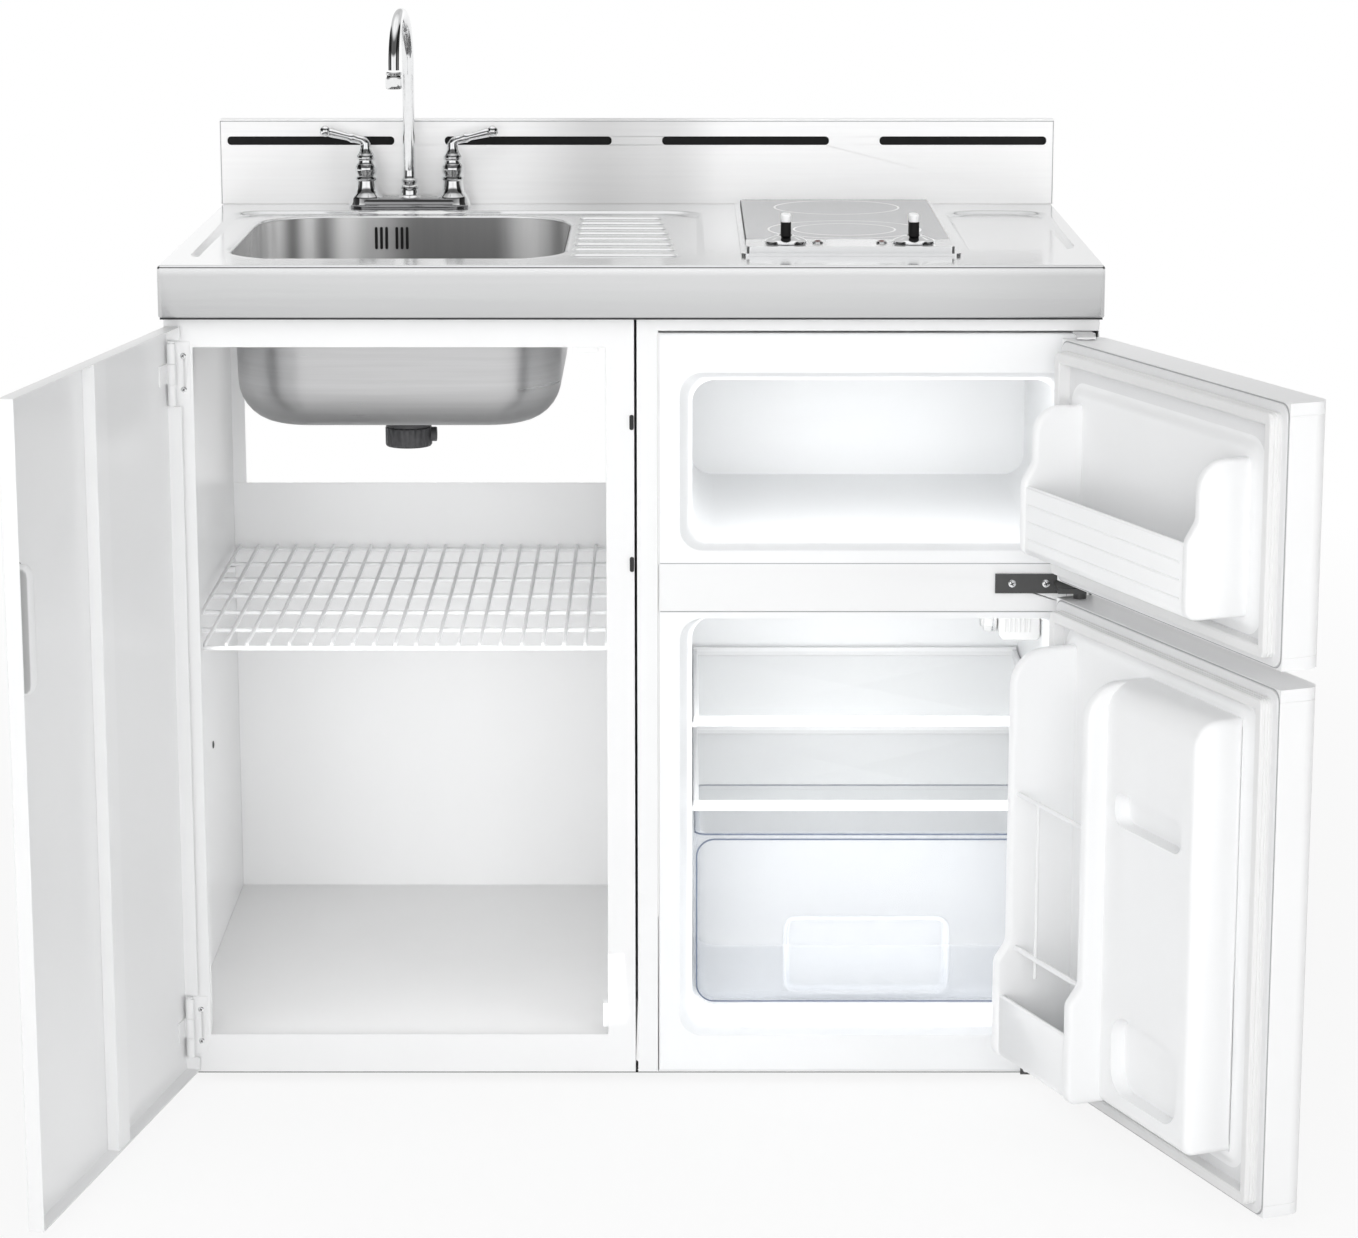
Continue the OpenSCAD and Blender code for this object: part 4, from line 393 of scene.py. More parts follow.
def pull_in(loop, d):
    """Loop moved inwards by d along its corner normals, whichever way round it runs."""
    m = len(loop)

    def beyond(i, way):
        """Next point of the loop that isn't at the same place as point i."""
        p = Vector(loop[i])
        return next((Vector(loop[(i + way * k) % m]) for k in range(1, m)
                     if (Vector(loop[(i + way * k) % m]) - p).length > 1e-4), p)

    turn = sum(loop[i - 1][0] * loop[i][1] - loop[i][0] * loop[i - 1][1] for i in range(m))
    s = 1 if turn > 0 else -1
    out = []
    for i in range(m):
        p = Vector(loop[i])
        e0, e1 = (p - beyond(i, -1)).normalized(), (beyond(i, 1) - p).normalized()
        n0, n1 = Vector((-e0.y, e0.x)) * s, Vector((-e1.y, e1.x)) * s
        nn = n0 + n1
        if nn.length < 1e-6:
            out.append(tuple(p))
            continue
        nn.normalize()
        out.append(tuple(p + nn * (d / max(0.35, nn.dot(n0)))))
    return out


def level(loop, z):
    """Flat loop at a height."""
    return [(p[0], p[1], z) for p in loop]


def steps(x0, x1, y0, y1, r, pairs, n=8):
    """Rings of a rounded rectangle, one for each (inset, height)."""
    return [level(rrect(x0, x1, y0, y1, r, i, n), z) for i, z in pairs]


OPEN = (False, False)  # rings without end faces


class Shape:
    """Mesh under construction, in millimetres."""

    def __init__(self):
        self.v, self.f = [], []

    def put(self, verts, faces, xf=None):
        n = len(self.v)
        for p in verts:
            p = Vector(p)
            self.v.append(tuple(xf @ p) if xf is not None else tuple(p))
        self.f += [tuple(i + n for i in q) for q in faces]
        return self

    def rings(self, rs, cap=(True, True), xf=None, closed=True, join=False):
        """Skin over rings; cap closes the first and last, join links the last to the first."""
        n = len(rs[0])
        verts = [p for r in rs for p in r]
        faces = []
        last = len(rs) if join else len(rs) - 1
        for k in range(last):
            k1 = (k + 1) % len(rs)
            for i in range(n if closed else n - 1):
                j = (i + 1) % n
                faces.append((k * n + i, k * n + j, k1 * n + j, k1 * n + i))
        if cap[0]:
            faces.append(tuple(range(n - 1, -1, -1)))
        if cap[1]:
            faces.append(tuple((len(rs) - 1) * n + i for i in range(n)))
        return self.put(verts, faces, xf)

    def lathe(self, profile, x=0.0, y=0.0, seg=48, xf=None, lobes=0, join=False):
        """Turned shape: (radius, height) or (radius, height, depth of the lobes)."""
        rs = []
        for p in profile:
            r, z = max(p[0], 0.02), p[1]
            d = p[2] if len(p) > 2 else 0.0
            rs.append([(x + (r + d * math.cos(lobes * 2 * math.pi * i / seg)) * math.cos(2 * math.pi * i / seg),
                        y + (r + d * math.cos(lobes * 2 * math.pi * i / seg)) * math.sin(2 * math.pi * i / seg), z)
                       for i in range(seg)])
        return self.rings(rs, (not join, not join), xf, join=join)

    def slab(self, loop, z0, z1, r0=0.6, r1=0.6, xf=None, n=3):
        """Loop raised from z0 to z1 with rounded edges."""
        rs = []
        quarter = [math.pi / 2 * k / n for k in range(n + 1)]
        for a in quarter:
            rs.append(level(pull_in(loop, r0 * (1 - math.sin(a))), z0 + r0 * (1 - math.cos(a))))
        for a in reversed(quarter):
            rs.append(level(pull_in(loop, r1 * (1 - math.sin(a))), z1 - r1 * (1 - math.cos(a))))
        return self.rings(rs, xf=xf)

    def block(self, x0, x1, y0, y1, z0, z1, r=0.6, corner=None, xf=None, n=3):
        return self.slab(rrect(x0, x1, y0, y1, r if corner is None else corner, n=4), z0, z1, r, r, xf, n)

    def tube(self, pts, radii, seg=14, xf=None, cap=(True, True), flat=None):
        """Round (or flattened) tube along points."""
        pts = [Vector(p) for p in pts]
        m = len(pts)
        if not hasattr(radii, "__len__"):
            radii = [radii] * m
        t = [(pts[min(i + 1, m - 1)] - pts[max(i - 1, 0)]).normalized() for i in range(m)]
        u = t[0].cross(Vector((0, 0, 1)))
        if u.length < 0.05:
            u = t[0].cross(Vector((0, 1, 0)))
        u.normalize()
        rs = []
        for i in range(m):
            u = (u - t[i] * u.dot(t[i])).normalized()
            w = t[i].cross(u)
            fu, fw = (1, 1) if flat is None else flat[i]
            rs.append([tuple(pts[i] + u * (radii[i] * fu * math.cos(2 * math.pi * k / seg))
                             + w * (radii[i] * fw * math.sin(2 * math.pi * k / seg))) for k in range(seg)])
        return self.rings(rs, cap, xf)

    def mesh(self, name):
        """Blender mesh in metres, doubles joined and faces turned outwards."""
        me = bpy.data.meshes.new(name)
        me.from_pydata([(x * MM, y * MM, z * MM) for x, y, z in self.v], [], self.f)
        bm = bmesh.new()
        bm.from_mesh(me)
        bmesh.ops.remove_doubles(bm, verts=bm.verts, dist=2e-6)
        bmesh.ops.recalc_face_normals(bm, faces=bm.faces)
        bm.to_mesh(me)
        bm.free()
        return me

    def made(self, name, mat, body="cabinet", slot=None, gone=(), angle=38, mods=()):
        """The finished piece, riding on a body and standing for the nodes in gone."""
        me = self.mesh(name)
        me.materials.append(M[mat])
        me.shade_smooth()
        me.set_sharp_from_angle(angle=math.radians(angle))
        ob = bpy.data.objects.new(name, me)
        scene.collection.objects.link(ob)
        for kind, values in mods:
            modify(ob, kind, **values)
        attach(ob, body)
        if gone:
            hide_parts(*gone)
        return ob


def carve(ob, *cutters):
    """Cuts shapes out of a piece's mesh; the cutters are thrown away."""
    for shape in cutters:
        me = shape.mesh("cutter")
        cutter = bpy.data.objects.new("cutter", me)
        scene.collection.objects.link(cutter)
        modify(ob, "BOOLEAN", operation="DIFFERENCE", solver="EXACT", object=cutter)
        bpy.context.view_layer.update()
        out = bpy.data.meshes.new_from_object(ob.evaluated_get(bpy.context.evaluated_depsgraph_get()))
        ob.modifiers.clear()
        old, name = ob.data, ob.data.name
        ob.data = out
        bpy.data.meshes.remove(old)
        out.name = name
        bpy.data.objects.remove(cutter)
        bpy.data.meshes.remove(me)
    ob.data.shade_smooth()
    ob.data.set_sharp_from_angle(angle=math.radians(38))


def axes(ex, ey, ez, at=(0, 0, 0)):
    """Matrix taking x, y, z to three given directions, at a point."""
    m = Matrix.Identity(4)
    for c, v in enumerate((ex, ey, ez, at)):
        for r in range(3):
            m[r][c] = v[r]
    return m


def turned(x, y, degrees):
    """Turn about an upright line."""
    turn = Matrix.Rotation(math.radians(degrees), 4, "Z")
    return Matrix.Translation((x, y, 0)) @ turn @ Matrix.Translation((-x, -y, 0))


# hinge lines, and the angle from closed to how each door stands at rest
FRIDGE = turned(474, -320, 112)
CABINET = turned(-483, -295.5, -101)
YZ = axes((0, 1, 0), (0, 0, 1), (1, 0, 0))  # drawn in y, z and raised along x
XZ = axes((1, 0, 0), (0, 0, 1), (0, -1, 0))  # drawn in x, z and raised towards the front
XZ_BACK = axes((1, 0, 0), (0, 0, 1), (0, 1, 0))  # drawn in x, z and raised towards the back

# ---------------------------------------------------------------- worktop
TOP, TRAY = 900, 896  # heights of the worktop and of its dropped trays
BOWL, BOWL_R = (-435, -75, -217, 193), 85
CX, CY = -255, -12  # middle of the bowl, where the drain is
HOB_HOLE = (124, 342, -221, 263)
FX, FY, TAP = -268.0, 247.5, 51  # middle of the faucet, and from there to each hub


def pressed_sheet():
    """Top sheet: flat panels, rolled edges, dropped trays, raised ribs and the cut-outs."""
    pts, edges, zs = [], [], []
    roll = 4.0  # radius of the rolled front and side edges

    def loop(points, z):
        n, m = len(pts), len(points)
        pts.extend(Vector(p) for p in points)
        zs.extend([z] * m)
        edges.extend((n + i, n + (i + 1) % m) for i in range(m))

    def skirt(inset):
        """Outline of the sheet from its back left corner round the front to its back right one."""
        r = max(3.5 - inset, 0.4) + 1.2
        x, y0, y1 = 495 - inset, -305 + inset, 304.8
        quarter = [math.pi / 12 * k for k in range(7)]
        path = [(-x, y1), (-x, 240), (-x, 150), (-x, 0), (-x, -150)]
        path += [(-x + r - r * math.cos(a), y0 + r - r * math.sin(a)) for a in quarter]
        path += [(-300, y0), (-100, y0), (100, y0), (300, y0)]
        path += [(x - r + r * math.sin(a), y0 + r - r * math.cos(a)) for a in quarter]
        return path + [(x, -150), (x, 0), (x, 150), (x, 240), (x, y1)]

    def tray(x0, x1, y0, y1):
        for i in (-2.2, -0.8, 0.8, 2.6, 4.4, 6.0, 7.2):
            t = (i + 2.2) / 9.4
            loop(rrect(x0, x1, y0, y1, 38, i, 8), TOP - (TOP - TRAY) * (t * t * (3 - 2 * t)))

    def cut_out(x, y):
        """Whether a point lies in the hob's hole, a faucet hole or the bowl's mouth."""
        if HOB_HOLE[0] < x < HOB_HOLE[1] and HOB_HOLE[2] < y < HOB_HOLE[3]:
            return True
        if any((x - hx) ** 2 + (y - FY) ** 2 < 12.7 ** 2 for hx in (FX - TAP, FX + TAP)):
            return True
        dx, dy = abs(x - CX) - (BOWL[1] - CX), abs(y - CY) - (BOWL[3] - CY)
        return dx < 0 and dy < 0 and math.hypot(max(dx + BOWL_R, 0), max(dy + BOWL_R, 0)) < BOWL_R

    loop(skirt(roll), TOP)
    tray(-470, 76, -245, 212)
    tray(360, 478, -173, 212)
    for i, z in ((-8, 896), (-5.5, 895.7), (-3.4, 894.9), (-1.6, 893.6), (-0.5, 892.0), (0.0, 890.0)):
        loop(rrect(*BOWL, BOWL_R, i, 16), z)
    for k in range(8):  # the drainboard's ribs
        y, x1 = -187 + 50 * k, 50 - 2.6 * k
        for i, z in ((0, 896), (1.1, 896.5), (2.3, 897.6), (3.6, 898.4), (5.2, 898.6)):
            loop(rrect(-67, x1, y - 10, y + 10, 10, i, 8), z)
    loop(rrect(*HOB_HOLE, 4, 0, 2), TOP)
    for x in (FX - TAP, FX + TAP):
        loop([(x + 13 * math.cos(math.pi / 8 * k), FY + 13 * math.sin(math.pi / 8 * k)) for k in range(16)], TOP)

    vs, _, fs, origins, _, _ = geometry.delaunay_2d_cdt(pts, edges, [], 0, 1e-5)
    s = Shape()
    s.put([(v.x, v.y, zs[o[0]] if o else TOP) for v, o in zip(vs, origins)],
          [f for f in fs if not cut_out(sum(vs[i].x for i in f) / 3, sum(vs[i].y for i in f) / 3)])
    rs = []
    for k in range(6):
        a = math.pi / 2 * k / 5
        rs.append(level(skirt(roll * (1 - math.sin(a))), TOP - roll * (1 - math.cos(a))))
    for inset, z in ((0, 880), (0, 860), (0, 846.6), (0.5, 845.2), (1.8, 844.3), (3.4, 844.1), (12, 844.1)):
        rs.append(level(skirt(inset), z))
    return s.rings(rs, OPEN, closed=False)


pressed_sheet().made("worktop_sheet", "steel_x", slot="stainless", gone=("worktop",), angle=50,
                     mods=(("SOLIDIFY", {"thickness": 0.0012, "offset": -1.0}),
                           ("WEIGHTED_NORMAL", {"keep_sharp": True})))


def bowl_rings(grow, rim, n=16):
    """The bowl's rings from its rim down to the drain; grow moves them outwards."""
    bottom, r, draft = 710 - grow, 45, 6

    def wall(z):
        return draft * (892 - z) / 182

    rs = steps(*BOWL, BOWL_R, rim, n)
    rs += [level(rrect(*BOWL, BOWL_R, wall(z) - grow, n), z) for z in (880, 855, 820, 785, bottom + r)]
    for k in range(1, 9):
        a = math.pi / 2 * k / 8
        z = bottom + r * (1 - math.sin(a))
        rs.append(level(rrect(*BOWL, BOWL_R, wall(z) - grow + r * (1 - math.cos(a)), n), z))
    last = [(p[0], p[1], math.atan2(p[1] - CY, p[0] - CX)) for p in rs[-1]]
    for t, drop in ((0.35, 0.2), (0.7, 0.5), (0.93, 0.9), (1.0, 2.2)):
        rs.append([(x * (1 - t) + (CX + 30 * math.cos(a)) * t, y * (1 - t) + (CY + 30 * math.sin(a)) * t,
                    bottom + 0.9 - drop * 0.6) for x, y, a in last])
    rs.append([(CX + 19.2 * math.cos(a), CY + 19.2 * math.sin(a), bottom - 0.1) for x, y, a in last])
    return rs


Shape().rings(bowl_rings(0, ((0.05, 893.4), (0.1, 892))), OPEN).made(
    "bowl_inside", "steel_bowl", slot="stainless", gone=("sink_bowl",), angle=60)
Shape().rings(bowl_rings(1.0, ((-0.9, 893.6), (-9, 894.6), (-9, 893.6), (-1.4, 893.6), (-1.0, 892))), OPEN).made(
    "bowl_outside", "steel_under", slot="stainless", angle=60)
LEAN = 0.033  # slope of the bowl's rear wall
rear_wall = axes((1, 0, 0), (0, LEAN, 1), (0, -1, LEAN), (0, 192.9 - LEAN * 892, 0))
# black slabs where the overflow's openings are: painted shade inside the openings
s = Shape()
for x in (-304, -298, -292, -280, -274, -268):
    s.slab(rrect(x - 1.6, x + 1.6, 857, 883, 1.6, n=4), 0, 1.4, 0.2, 0.2, rear_wall)
s.made("overflow_slot_shade", "slot_black", slot="black_plastic")

# strainer cup with its cross bars; below it the drain, the waste nut and the side port; the overflow box
s = Shape()
s.lathe([(29, 710.0), (29.2, 710.5), (28.6, 711.3), (27, 711.6), (21, 711.2), (18.6, 710.2), (15.2, 707), (15.2, 701),
         (15.5, 701), (15.5, 708), (20, 710)], CX, CY, join=True)
s.lathe([(2.6, 707.4), (2.8, 708.6), (2.0, 709.4), (0.0, 709.6)], CX, CY, 16)
for k in range(3):
    dx, dy = math.cos(math.pi * k / 3), math.sin(math.pi * k / 3)
    s.block(-15.3, 15.3, -1.1, 1.1, 706.6, 708.0, 0.3, xf=axes((dx, dy, 0), (-dy, dx, 0), (0, 0, 1), (CX, CY, 0)))
s.lathe([(9.2, 706.6), (9.2, 708), (7.4, 708), (7.4, 706.6)], CX, CY, 32, join=True)
s.made("strainer_cup", "chrome", slot="chrome", gone=("sink_strainer",))
s = Shape()
s.lathe([(16.2, 708.6), (30.6, 708.6), (31, 708.0), (31, 706.4), (30.2, 705.6), (18.6, 705.2), (17.8, 704.4),
         (17.8, 691), (24.6, 690.2), (25.8, 689.2), (25.8, 682.4), (24.9, 681.7), (16.0, 681.6)], CX, CY, 64, join=True)
s.lathe([(19.6, 681.3, 0), (25.2, 681.3, 0), (26.0, 680.6, 0.35), (26.0, 661.4, 0.35), (25.0, 659.8, 0),
         (19.6, 659.7, 0)], CX, CY, 144, lobes=24, join=True)
s.lathe([(8.2, 0), (8.2, 5.4), (7.6, 6.2), (5.8, 6.2), (5.6, 1.0)], seg=32,
        xf=axes((0, 0, 1), (0, 1, 0), (1, 0, 0), (CX + 25.6, CY, 672.5)))
s.block(-312, -260, 194.6, 209.4, 853.9, 893.4, 2.5)
s.made("drain_and_nut", "plastic_drain", slot="black_plastic", gone=("drain_fitting",))

# ---------------------------------------------------------------- faucet
s = Shape()
s.rings(steps(FX - 71, FX + 71, FY - 25, FY + 25, 24.5, (
    (0.2, 900.05), (0, 901), (0, 903.2), (1.0, 904.4), (3.2, 905.0), (4.2, 905.6), (4.6, 907.4), (4.8, 909.8),
    (6.0, 911.4), (8.4, 912.0)), 12))
s.made("faucet_deck", "chrome_deck_painted_dark", slot="chrome")
HUB = [(20.6, 900.2), (20.6, 905), (19.4, 907.5), (19.2, 911.6), (18.2, 913.6), (14.6, 917), (12.6, 922), (11.6, 928),
       (11.4, 931.5), (13.4, 933), (13.9, 934.6), (13.2, 936.2), (11.2, 937.2), (11.2, 939), (12.8, 942),
       (13.4, 945.5), (12.6, 949), (10.6, 951.6), (9.8, 953), (9.8, 956), (4.1, 956), (4.1, 941)]
s = Shape()
for x in (FX - TAP, FX + TAP):
    s.lathe(HUB, x, FY, 56)
    s.tube([(x, FY, 899.8), (x, FY, 852.8)], 10.2, 32)
s.lathe([(15, 905), (14.6, 911), (12.6, 913.4), (11.2, 914.6), (11.2, 919), (10.4, 921.6), (7.2, 922), (7.2, 905)],
        FX, FY, 56)
s.made("faucet_body", "chrome", slot="chrome", gone=("faucet_base",))


def lever(side):
    """Lever handle: ringed neck, curved stem and a flared grip ending in a ball."""
    x = FX + side * TAP
    h = Shape()
    h.lathe([(3.9, 942), (3.9, 956.4), (10.6, 956.4), (11.2, 957.6), (11.0, 960.4), (9.2, 962.4), (7.4, 965.6),
             (6.2, 969.4), (5.8, 973.0), (5.6, 976.2)], x, FY, 48)
    rise = math.radians(14)
    ux, uz = side * math.cos(rise), math.sin(rise)
    pts, rad, flat = [], [], []
    for k in range(9):
        a = math.pi / 2 * k / 8 * (76 / 90)
        pts.append((x + side * 8 * (1 - math.cos(a)), FY, 971.5 + 8 * math.sin(a)))
        rad.append(5.7 - 0.09 * k)
        flat.append((1, 1))
    px, pz = pts[-1][0], pts[-1][2]
    for d, r in ((3, 4.9), (6, 5.0), (9, 5.6), (10.5, 5.9), (12, 5.2), (16, 5.0), (22, 5.5), (28, 6.0), (34, 6.5),
                 (37, 6.5), (38.4, 5.4), (39.2, 4.4)):
        pts.append((px + ux * d, FY, pz + uz * d))
        rad.append(r)
        flat.append((1.12, 0.86) if d > 12 else (1, 1))
    h.tube(pts, rad, 24, flat=flat)
    ball = [(6.6 * math.sin(math.pi * k / 12), -6.6 * math.cos(math.pi * k / 12)) for k in range(13)]
    return h.lathe(ball, seg=32, xf=axes((0, 1, 0), (-uz * side, 0, ux * side), (ux, 0, uz),
                                         (px + ux * 42.6, FY, pz + uz * 42.6)))


lever(-1).made("lever_hot", "chrome", "hot_handle", "chrome", ("hot_handle",))
lever(1).made("lever_cold", "chrome", "cold_handle", "chrome", ("cold_handle",))
SPOUT = Matrix.Translation((FX, FY, 0)) @ Matrix.Rotation(math.radians(-4), 4, "Z")
BEND = 58  # radius of the gooseneck
s = Shape()
s.lathe([(6.9, 904.4), (6.9, 922.4), (10.6, 922.4), (11.2, 923.6), (11.2, 925.4), (9.8, 926.8), (8.6, 927.6),
         (8.8, 929.0), (9.9, 930.6), (10.2, 932.2), (9.4, 933.6), (8.0, 934.8), (7.2, 938), (7.0, 944)],
        seg=48, xf=SPOUT)
pts = [(0, 0, z) for z in (940, 970, 1000, 1030, 1055)]
pts += [(0, -BEND + BEND * math.cos(math.pi * k / 24), 1072 + BEND * math.sin(math.pi * k / 24)) for k in range(25)]
pts += [(0, -2 * BEND, 1069.5)]
s.tube(pts, [7.0] * 5 + [7.0 - 0.02 * k for k in range(25)] + [6.6], 28, xf=SPOUT)
s.made("gooseneck", "chrome", "spout", "chrome", ("spout",))
s = Shape()
s.lathe([(5.4, 1067.2), (9.0, 1067.6), (9.8, 1066.4), (9.2, 1064.6), (8.4, 1063.6), (8.6, 1062.4), (9.9, 1060.8),
         (10.0, 1052.0), (9.6, 1049.4), (8.9, 1048.2), (7.9, 1048.4), (7.7, 1050.2), (0.0, 1050.4)],
        0, -2 * BEND, 48, xf=SPOUT)
s.made("aerator_cup", "chrome", "spout", "chrome", ("aerator",))

# ---------------------------------------------------------------- hob
KNOB_Y = -183
for side, x in (("left", 164.5), ("right", 301.5)):
    knob = "hob_knob_" + side
    s = Shape()
    s.lathe([(4.2, 893.5), (4.2, 909.4), (22.4, 909.4), (23.0, 910.0), (23.0, 911.6), (21.4, 912.9, 0.6),
             (18.4, 913.9, 1.3), (14.6, 915.2, 1.2), (11.2, 916.6, 0.5), (9.4, 917.2), (0, 917.3)],
            x, KNOB_Y, 120, lobes=6)
    s.made("knob_skirt_" + side, "chrome", knob, "chrome", (knob,))
    s = Shape()
    s.slab(rrect(x - 5.4, x + 5.4, -195.8, -170.2, 5.2, n=8), 917.2, 932.4, 0.3, 0.3)
    s.lathe([(8.0, 915.8), (7.6, 917.0), (6.2, 918.0), (0, 918.2)], x, KNOB_Y, 32)
    s.made("knob_grip_" + side, "slot_black", knob, "black_plastic")
    s = Shape()
    s.slab(rrect(x - 5.45, x + 5.45, -195.9, -170.1, 5.2, n=8), 932.4, 940.2, 0.2, 1.8)
    s.made("knob_cap_" + side, "plastic_white", knob, "white_plastic")
s, t = Shape(), Shape()
LAMP_R = 7
lo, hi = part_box("indicator_lamps")
for x in (round(lo[0] / MM + LAMP_R, 2), round(hi[0] / MM - LAMP_R, 2)):
    s.lathe([(6.0, 909.05), (6.1, 910.0), (5.6, 910.8), (4.6, 910.9), (4.2, 909.8), (4.2, 909.05)],
            x, KNOB_Y, 32, join=True)
    t.lathe([(4.1, 907.0), (4.1, 909.9), (3.4, 911.2), (1.8, 912.0), (0, 912.2)], x, KNOB_Y, 32)
s.made("lamp_rings", "chrome", slot="chrome")
t.made("lamp_lenses", "lamp", slot="lamp_lens", gone=("indicator_lamps",))
s = Shape()
s.rings(steps(122.4, 343.6, -146.6, 259.6, 6.5, (
    (0, 903.1), (0, 907.2), (0.35, 907.7), (0.9, 907.7), (1.1, 907.2), (1.1, 903.1))), OPEN, join=True)
s.made("hob_glass_seal", "rubber_black", slot="black_rubber")

# ---------------------------------------------------------------- wire shelf
s = Shape()
x0, x1, y0, y1, z = -485.8, -3.6, -258.0, 288.0, 480.0
for i in range(7):  # rods from side to side
    y = y0 + 2.6 + i * (y1 - y0 - 5.2) / 6
    s.tube([(x0, y, z), (x0 + 1, y, z), (x0 + 160, y, z - 0.15), (x1 - 160, y, z - 0.15), (x1 - 1, y, z), (x1, y, z)],
           [1.6, 2.6, 2.6, 2.6, 2.6, 1.6], 12)
zt = z + 2.6 + 2.1 - 0.6
for i in range(22):  # wires over them, turned down at the front
    x = x0 + 2.1 + i * (x1 - x0 - 4.2) / 21
    s.tube([(x, y1, zt), (x, y1 - 1, zt), (x, 100, zt - 0.1), (x, -100, zt - 0.1), (x, y0 + 4, zt),
            (x, y0 + 1.6, zt - 1.0), (x, y0 + 0.6, zt - 2.6)], [1.2, 2.1, 2.1, 2.1, 2.1, 2.0, 1.6], 10)
s.made("wire_grid", "wire", slot="coated_wire", gone=("wire_shelf",))

# ---------------------------------------------------------------- refrigerator doors
# drawn closed, with the inner face at y = -298, and turned open: DY takes (depth, z) raised along x,
# DZ takes (x, z) raised inwards
DY = FRIDGE @ axes((0, 1, 0), (0, 0, 1), (1, 0, 0), (0, -298, 0))
DZ = FRIDGE @ axes((1, 0, 0), (0, 0, 1), (0, 1, 0), (0, -298, 0))


def door_fin(s, x0, x1, hi, lo, z0, z1, zs):
    """Upright fin, lo deep at its foot and hi deep above zs."""
    loop = fillet([(-0.5, z0), (lo, z0), (lo, zs - 10), (hi, zs + 9), (hi, z1), (-0.5, z1)],
                  [0.3, 12, 14, 14, min(hi - 4, 40), 0.3], 8)
    s.slab(loop, x0, x1, 4.6, 4.6, DY, 5)


def door_bin(s, x0, x1, p, z0, h):
    """Pocket's floor and front wall."""
    loop = fillet([(-0.5, z0), (p, z0), (p, z0 + h), (p - 5.4, z0 + h), (p - 5.4, z0 + h - 5),
                   (p - 2.4, z0 + h - 5.6), (p - 2.4, z0 + 2.4), (-0.5, z0 + 2.4)],
                  [0.3, 10, 2.4, 2.4, 1, 1.4, 7.6, 0.3], 6)
    s.slab(loop, x0, x1, 0.1, 0.1, DY, 1)


def door_pan(s, x0, x1, z0, z1):
    """Raised field of the liner."""
    s.rings(steps(x0, x1, z0, z1, 18, ((-9, 0), (-6, 0.3), (-3, 1.2), (0, 3.2), (2.5, 4.6), (5, 5.0))),
            (False, True), DZ)


def flange(name, z0, z1):
    """Flat edge of the liner, painted greyer than the moulding as shade, and the dark line painted round it as the
    shadow in the joint.
    """
    s = Shape()
    s.slab(rrect(30, 486, z0, z1, 12, n=6), -2.0, 0.0, 0.2, 0.8, DZ, 2)
    s.made(name + "_flange", "liner_flange_painted_shade", name, "white_plastic", angle=45)
    # dark line painted as the shadow in the joint round the flange
    s = Shape()
    s.rings(steps(28.8, 487.2, z0 - 1.2, z1 + 1.2, 12, ((1.4, -1.9), (0, -1.9), (0, -1.3), (1.4, -1.3)), 6),
            OPEN, DZ, join=True)
    s.made(name + "_joint_shadow", "seam", name, "white_plastic", angle=45)


flange("freezer_door", 569, 822.5)
flange("fridge_door", 18, 546.5)
s = Shape()
door_pan(s, 74, 452, 600, 776)
door_fin(s, 427, 440, 58, 70, 609, 764, 697)
door_fin(s, 86, 99, 58, 70, 609, 764, 697)
door_bin(s, 97, 429, 68, 609, 74)
for z in (628, 646, 664):
    line = fillet([(104, z - 1.2), (422, z - 1.2), (422, z + 1.2), (104, z + 1.2)], 1.0, 3)
    s.slab(line, 67.2, 69.0, 0.2, 0.8, DZ, 2)
s.made("freezer_door_moulding", "liner_door", "freezer_door", "white_plastic", ("freezer_door_liner",), angle=45)
s = Shape()
door_pan(s, 74, 452, 58, 518)
door_fin(s, 427, 440, 78, 92, 67, 509, 185)
door_fin(s, 262, 277, 78, 92, 67, 509, 185)
door_bin(s, 274, 429, 88, 67, 70)
s.made("fridge_door_moulding", "liner_door", "fridge_door", "white_plastic", ("fridge_door_liner",), angle=45)
s = Shape()
s.slab(fillet([(-0.5, 67), (56, 67), (56, 509), (-0.5, 509)], [0.3, 12, 34, 0.3], 8), 84, 266, 7, 0.5, DY, 5)
ob = s.made("can_column", "liner_door", "fridge_door", "white_plastic", angle=45)
hollow = fillet([(1.5, 69.5), (53.4, 69.5), (53.4, 506.5), (1.5, 506.5)], [1, 10, 31, 1], 6)
carve(ob, Shape().slab(hollow, 87, 261, 4, 4, DY, 3),
      Shape().slab(rrect(108, 243, 369, 403, 14, n=8), 40, 70, 0.1, 0.1, DZ, 1),
      Shape().slab(rrect(104, 239, 89, 171, 26, n=8), 40, 70, 0.1, 0.1, DZ, 1))
modify(ob, "BEVEL", width=0.0009, segments=2, limit_method="ANGLE", angle_limit=math.radians(50))
s = Shape()
for z, r in ((187, 3.0), (355, 2.6)):
    s.tube([(x, -228, z) for x in (276.5, 290, 350, 415, 427.5)], r, 16, FRIDGE)
s.tube([(381.5, -228, z) for z in (166.5, 200, 300, 357.6)], 2.0, 12, FRIDGE)
s.made("bottle_rails", "plastic_white", "fridge_door", "white_plastic", ("bottle_retainer",))


def gasket(name, z0, z1, door):
    s = Shape()
    s.rings(steps(28, 488, z0, z1, 18, (
        (10.5, 0), (10.5, 3.4), (11.6, 4.2), (10.7, 5.0), (10.7, 7.2), (11.9, 8.0), (10.8, 8.8), (10.9, 11.4),
        (12.2, 12.6), (20.6, 12.6), (22.2, 11.4), (22.3, 8.0), (22.5, 0))), OPEN, DZ, join=True)
    s.made(name, "rubber_white", door, "white_rubber", (door + "_gasket",), angle=30)


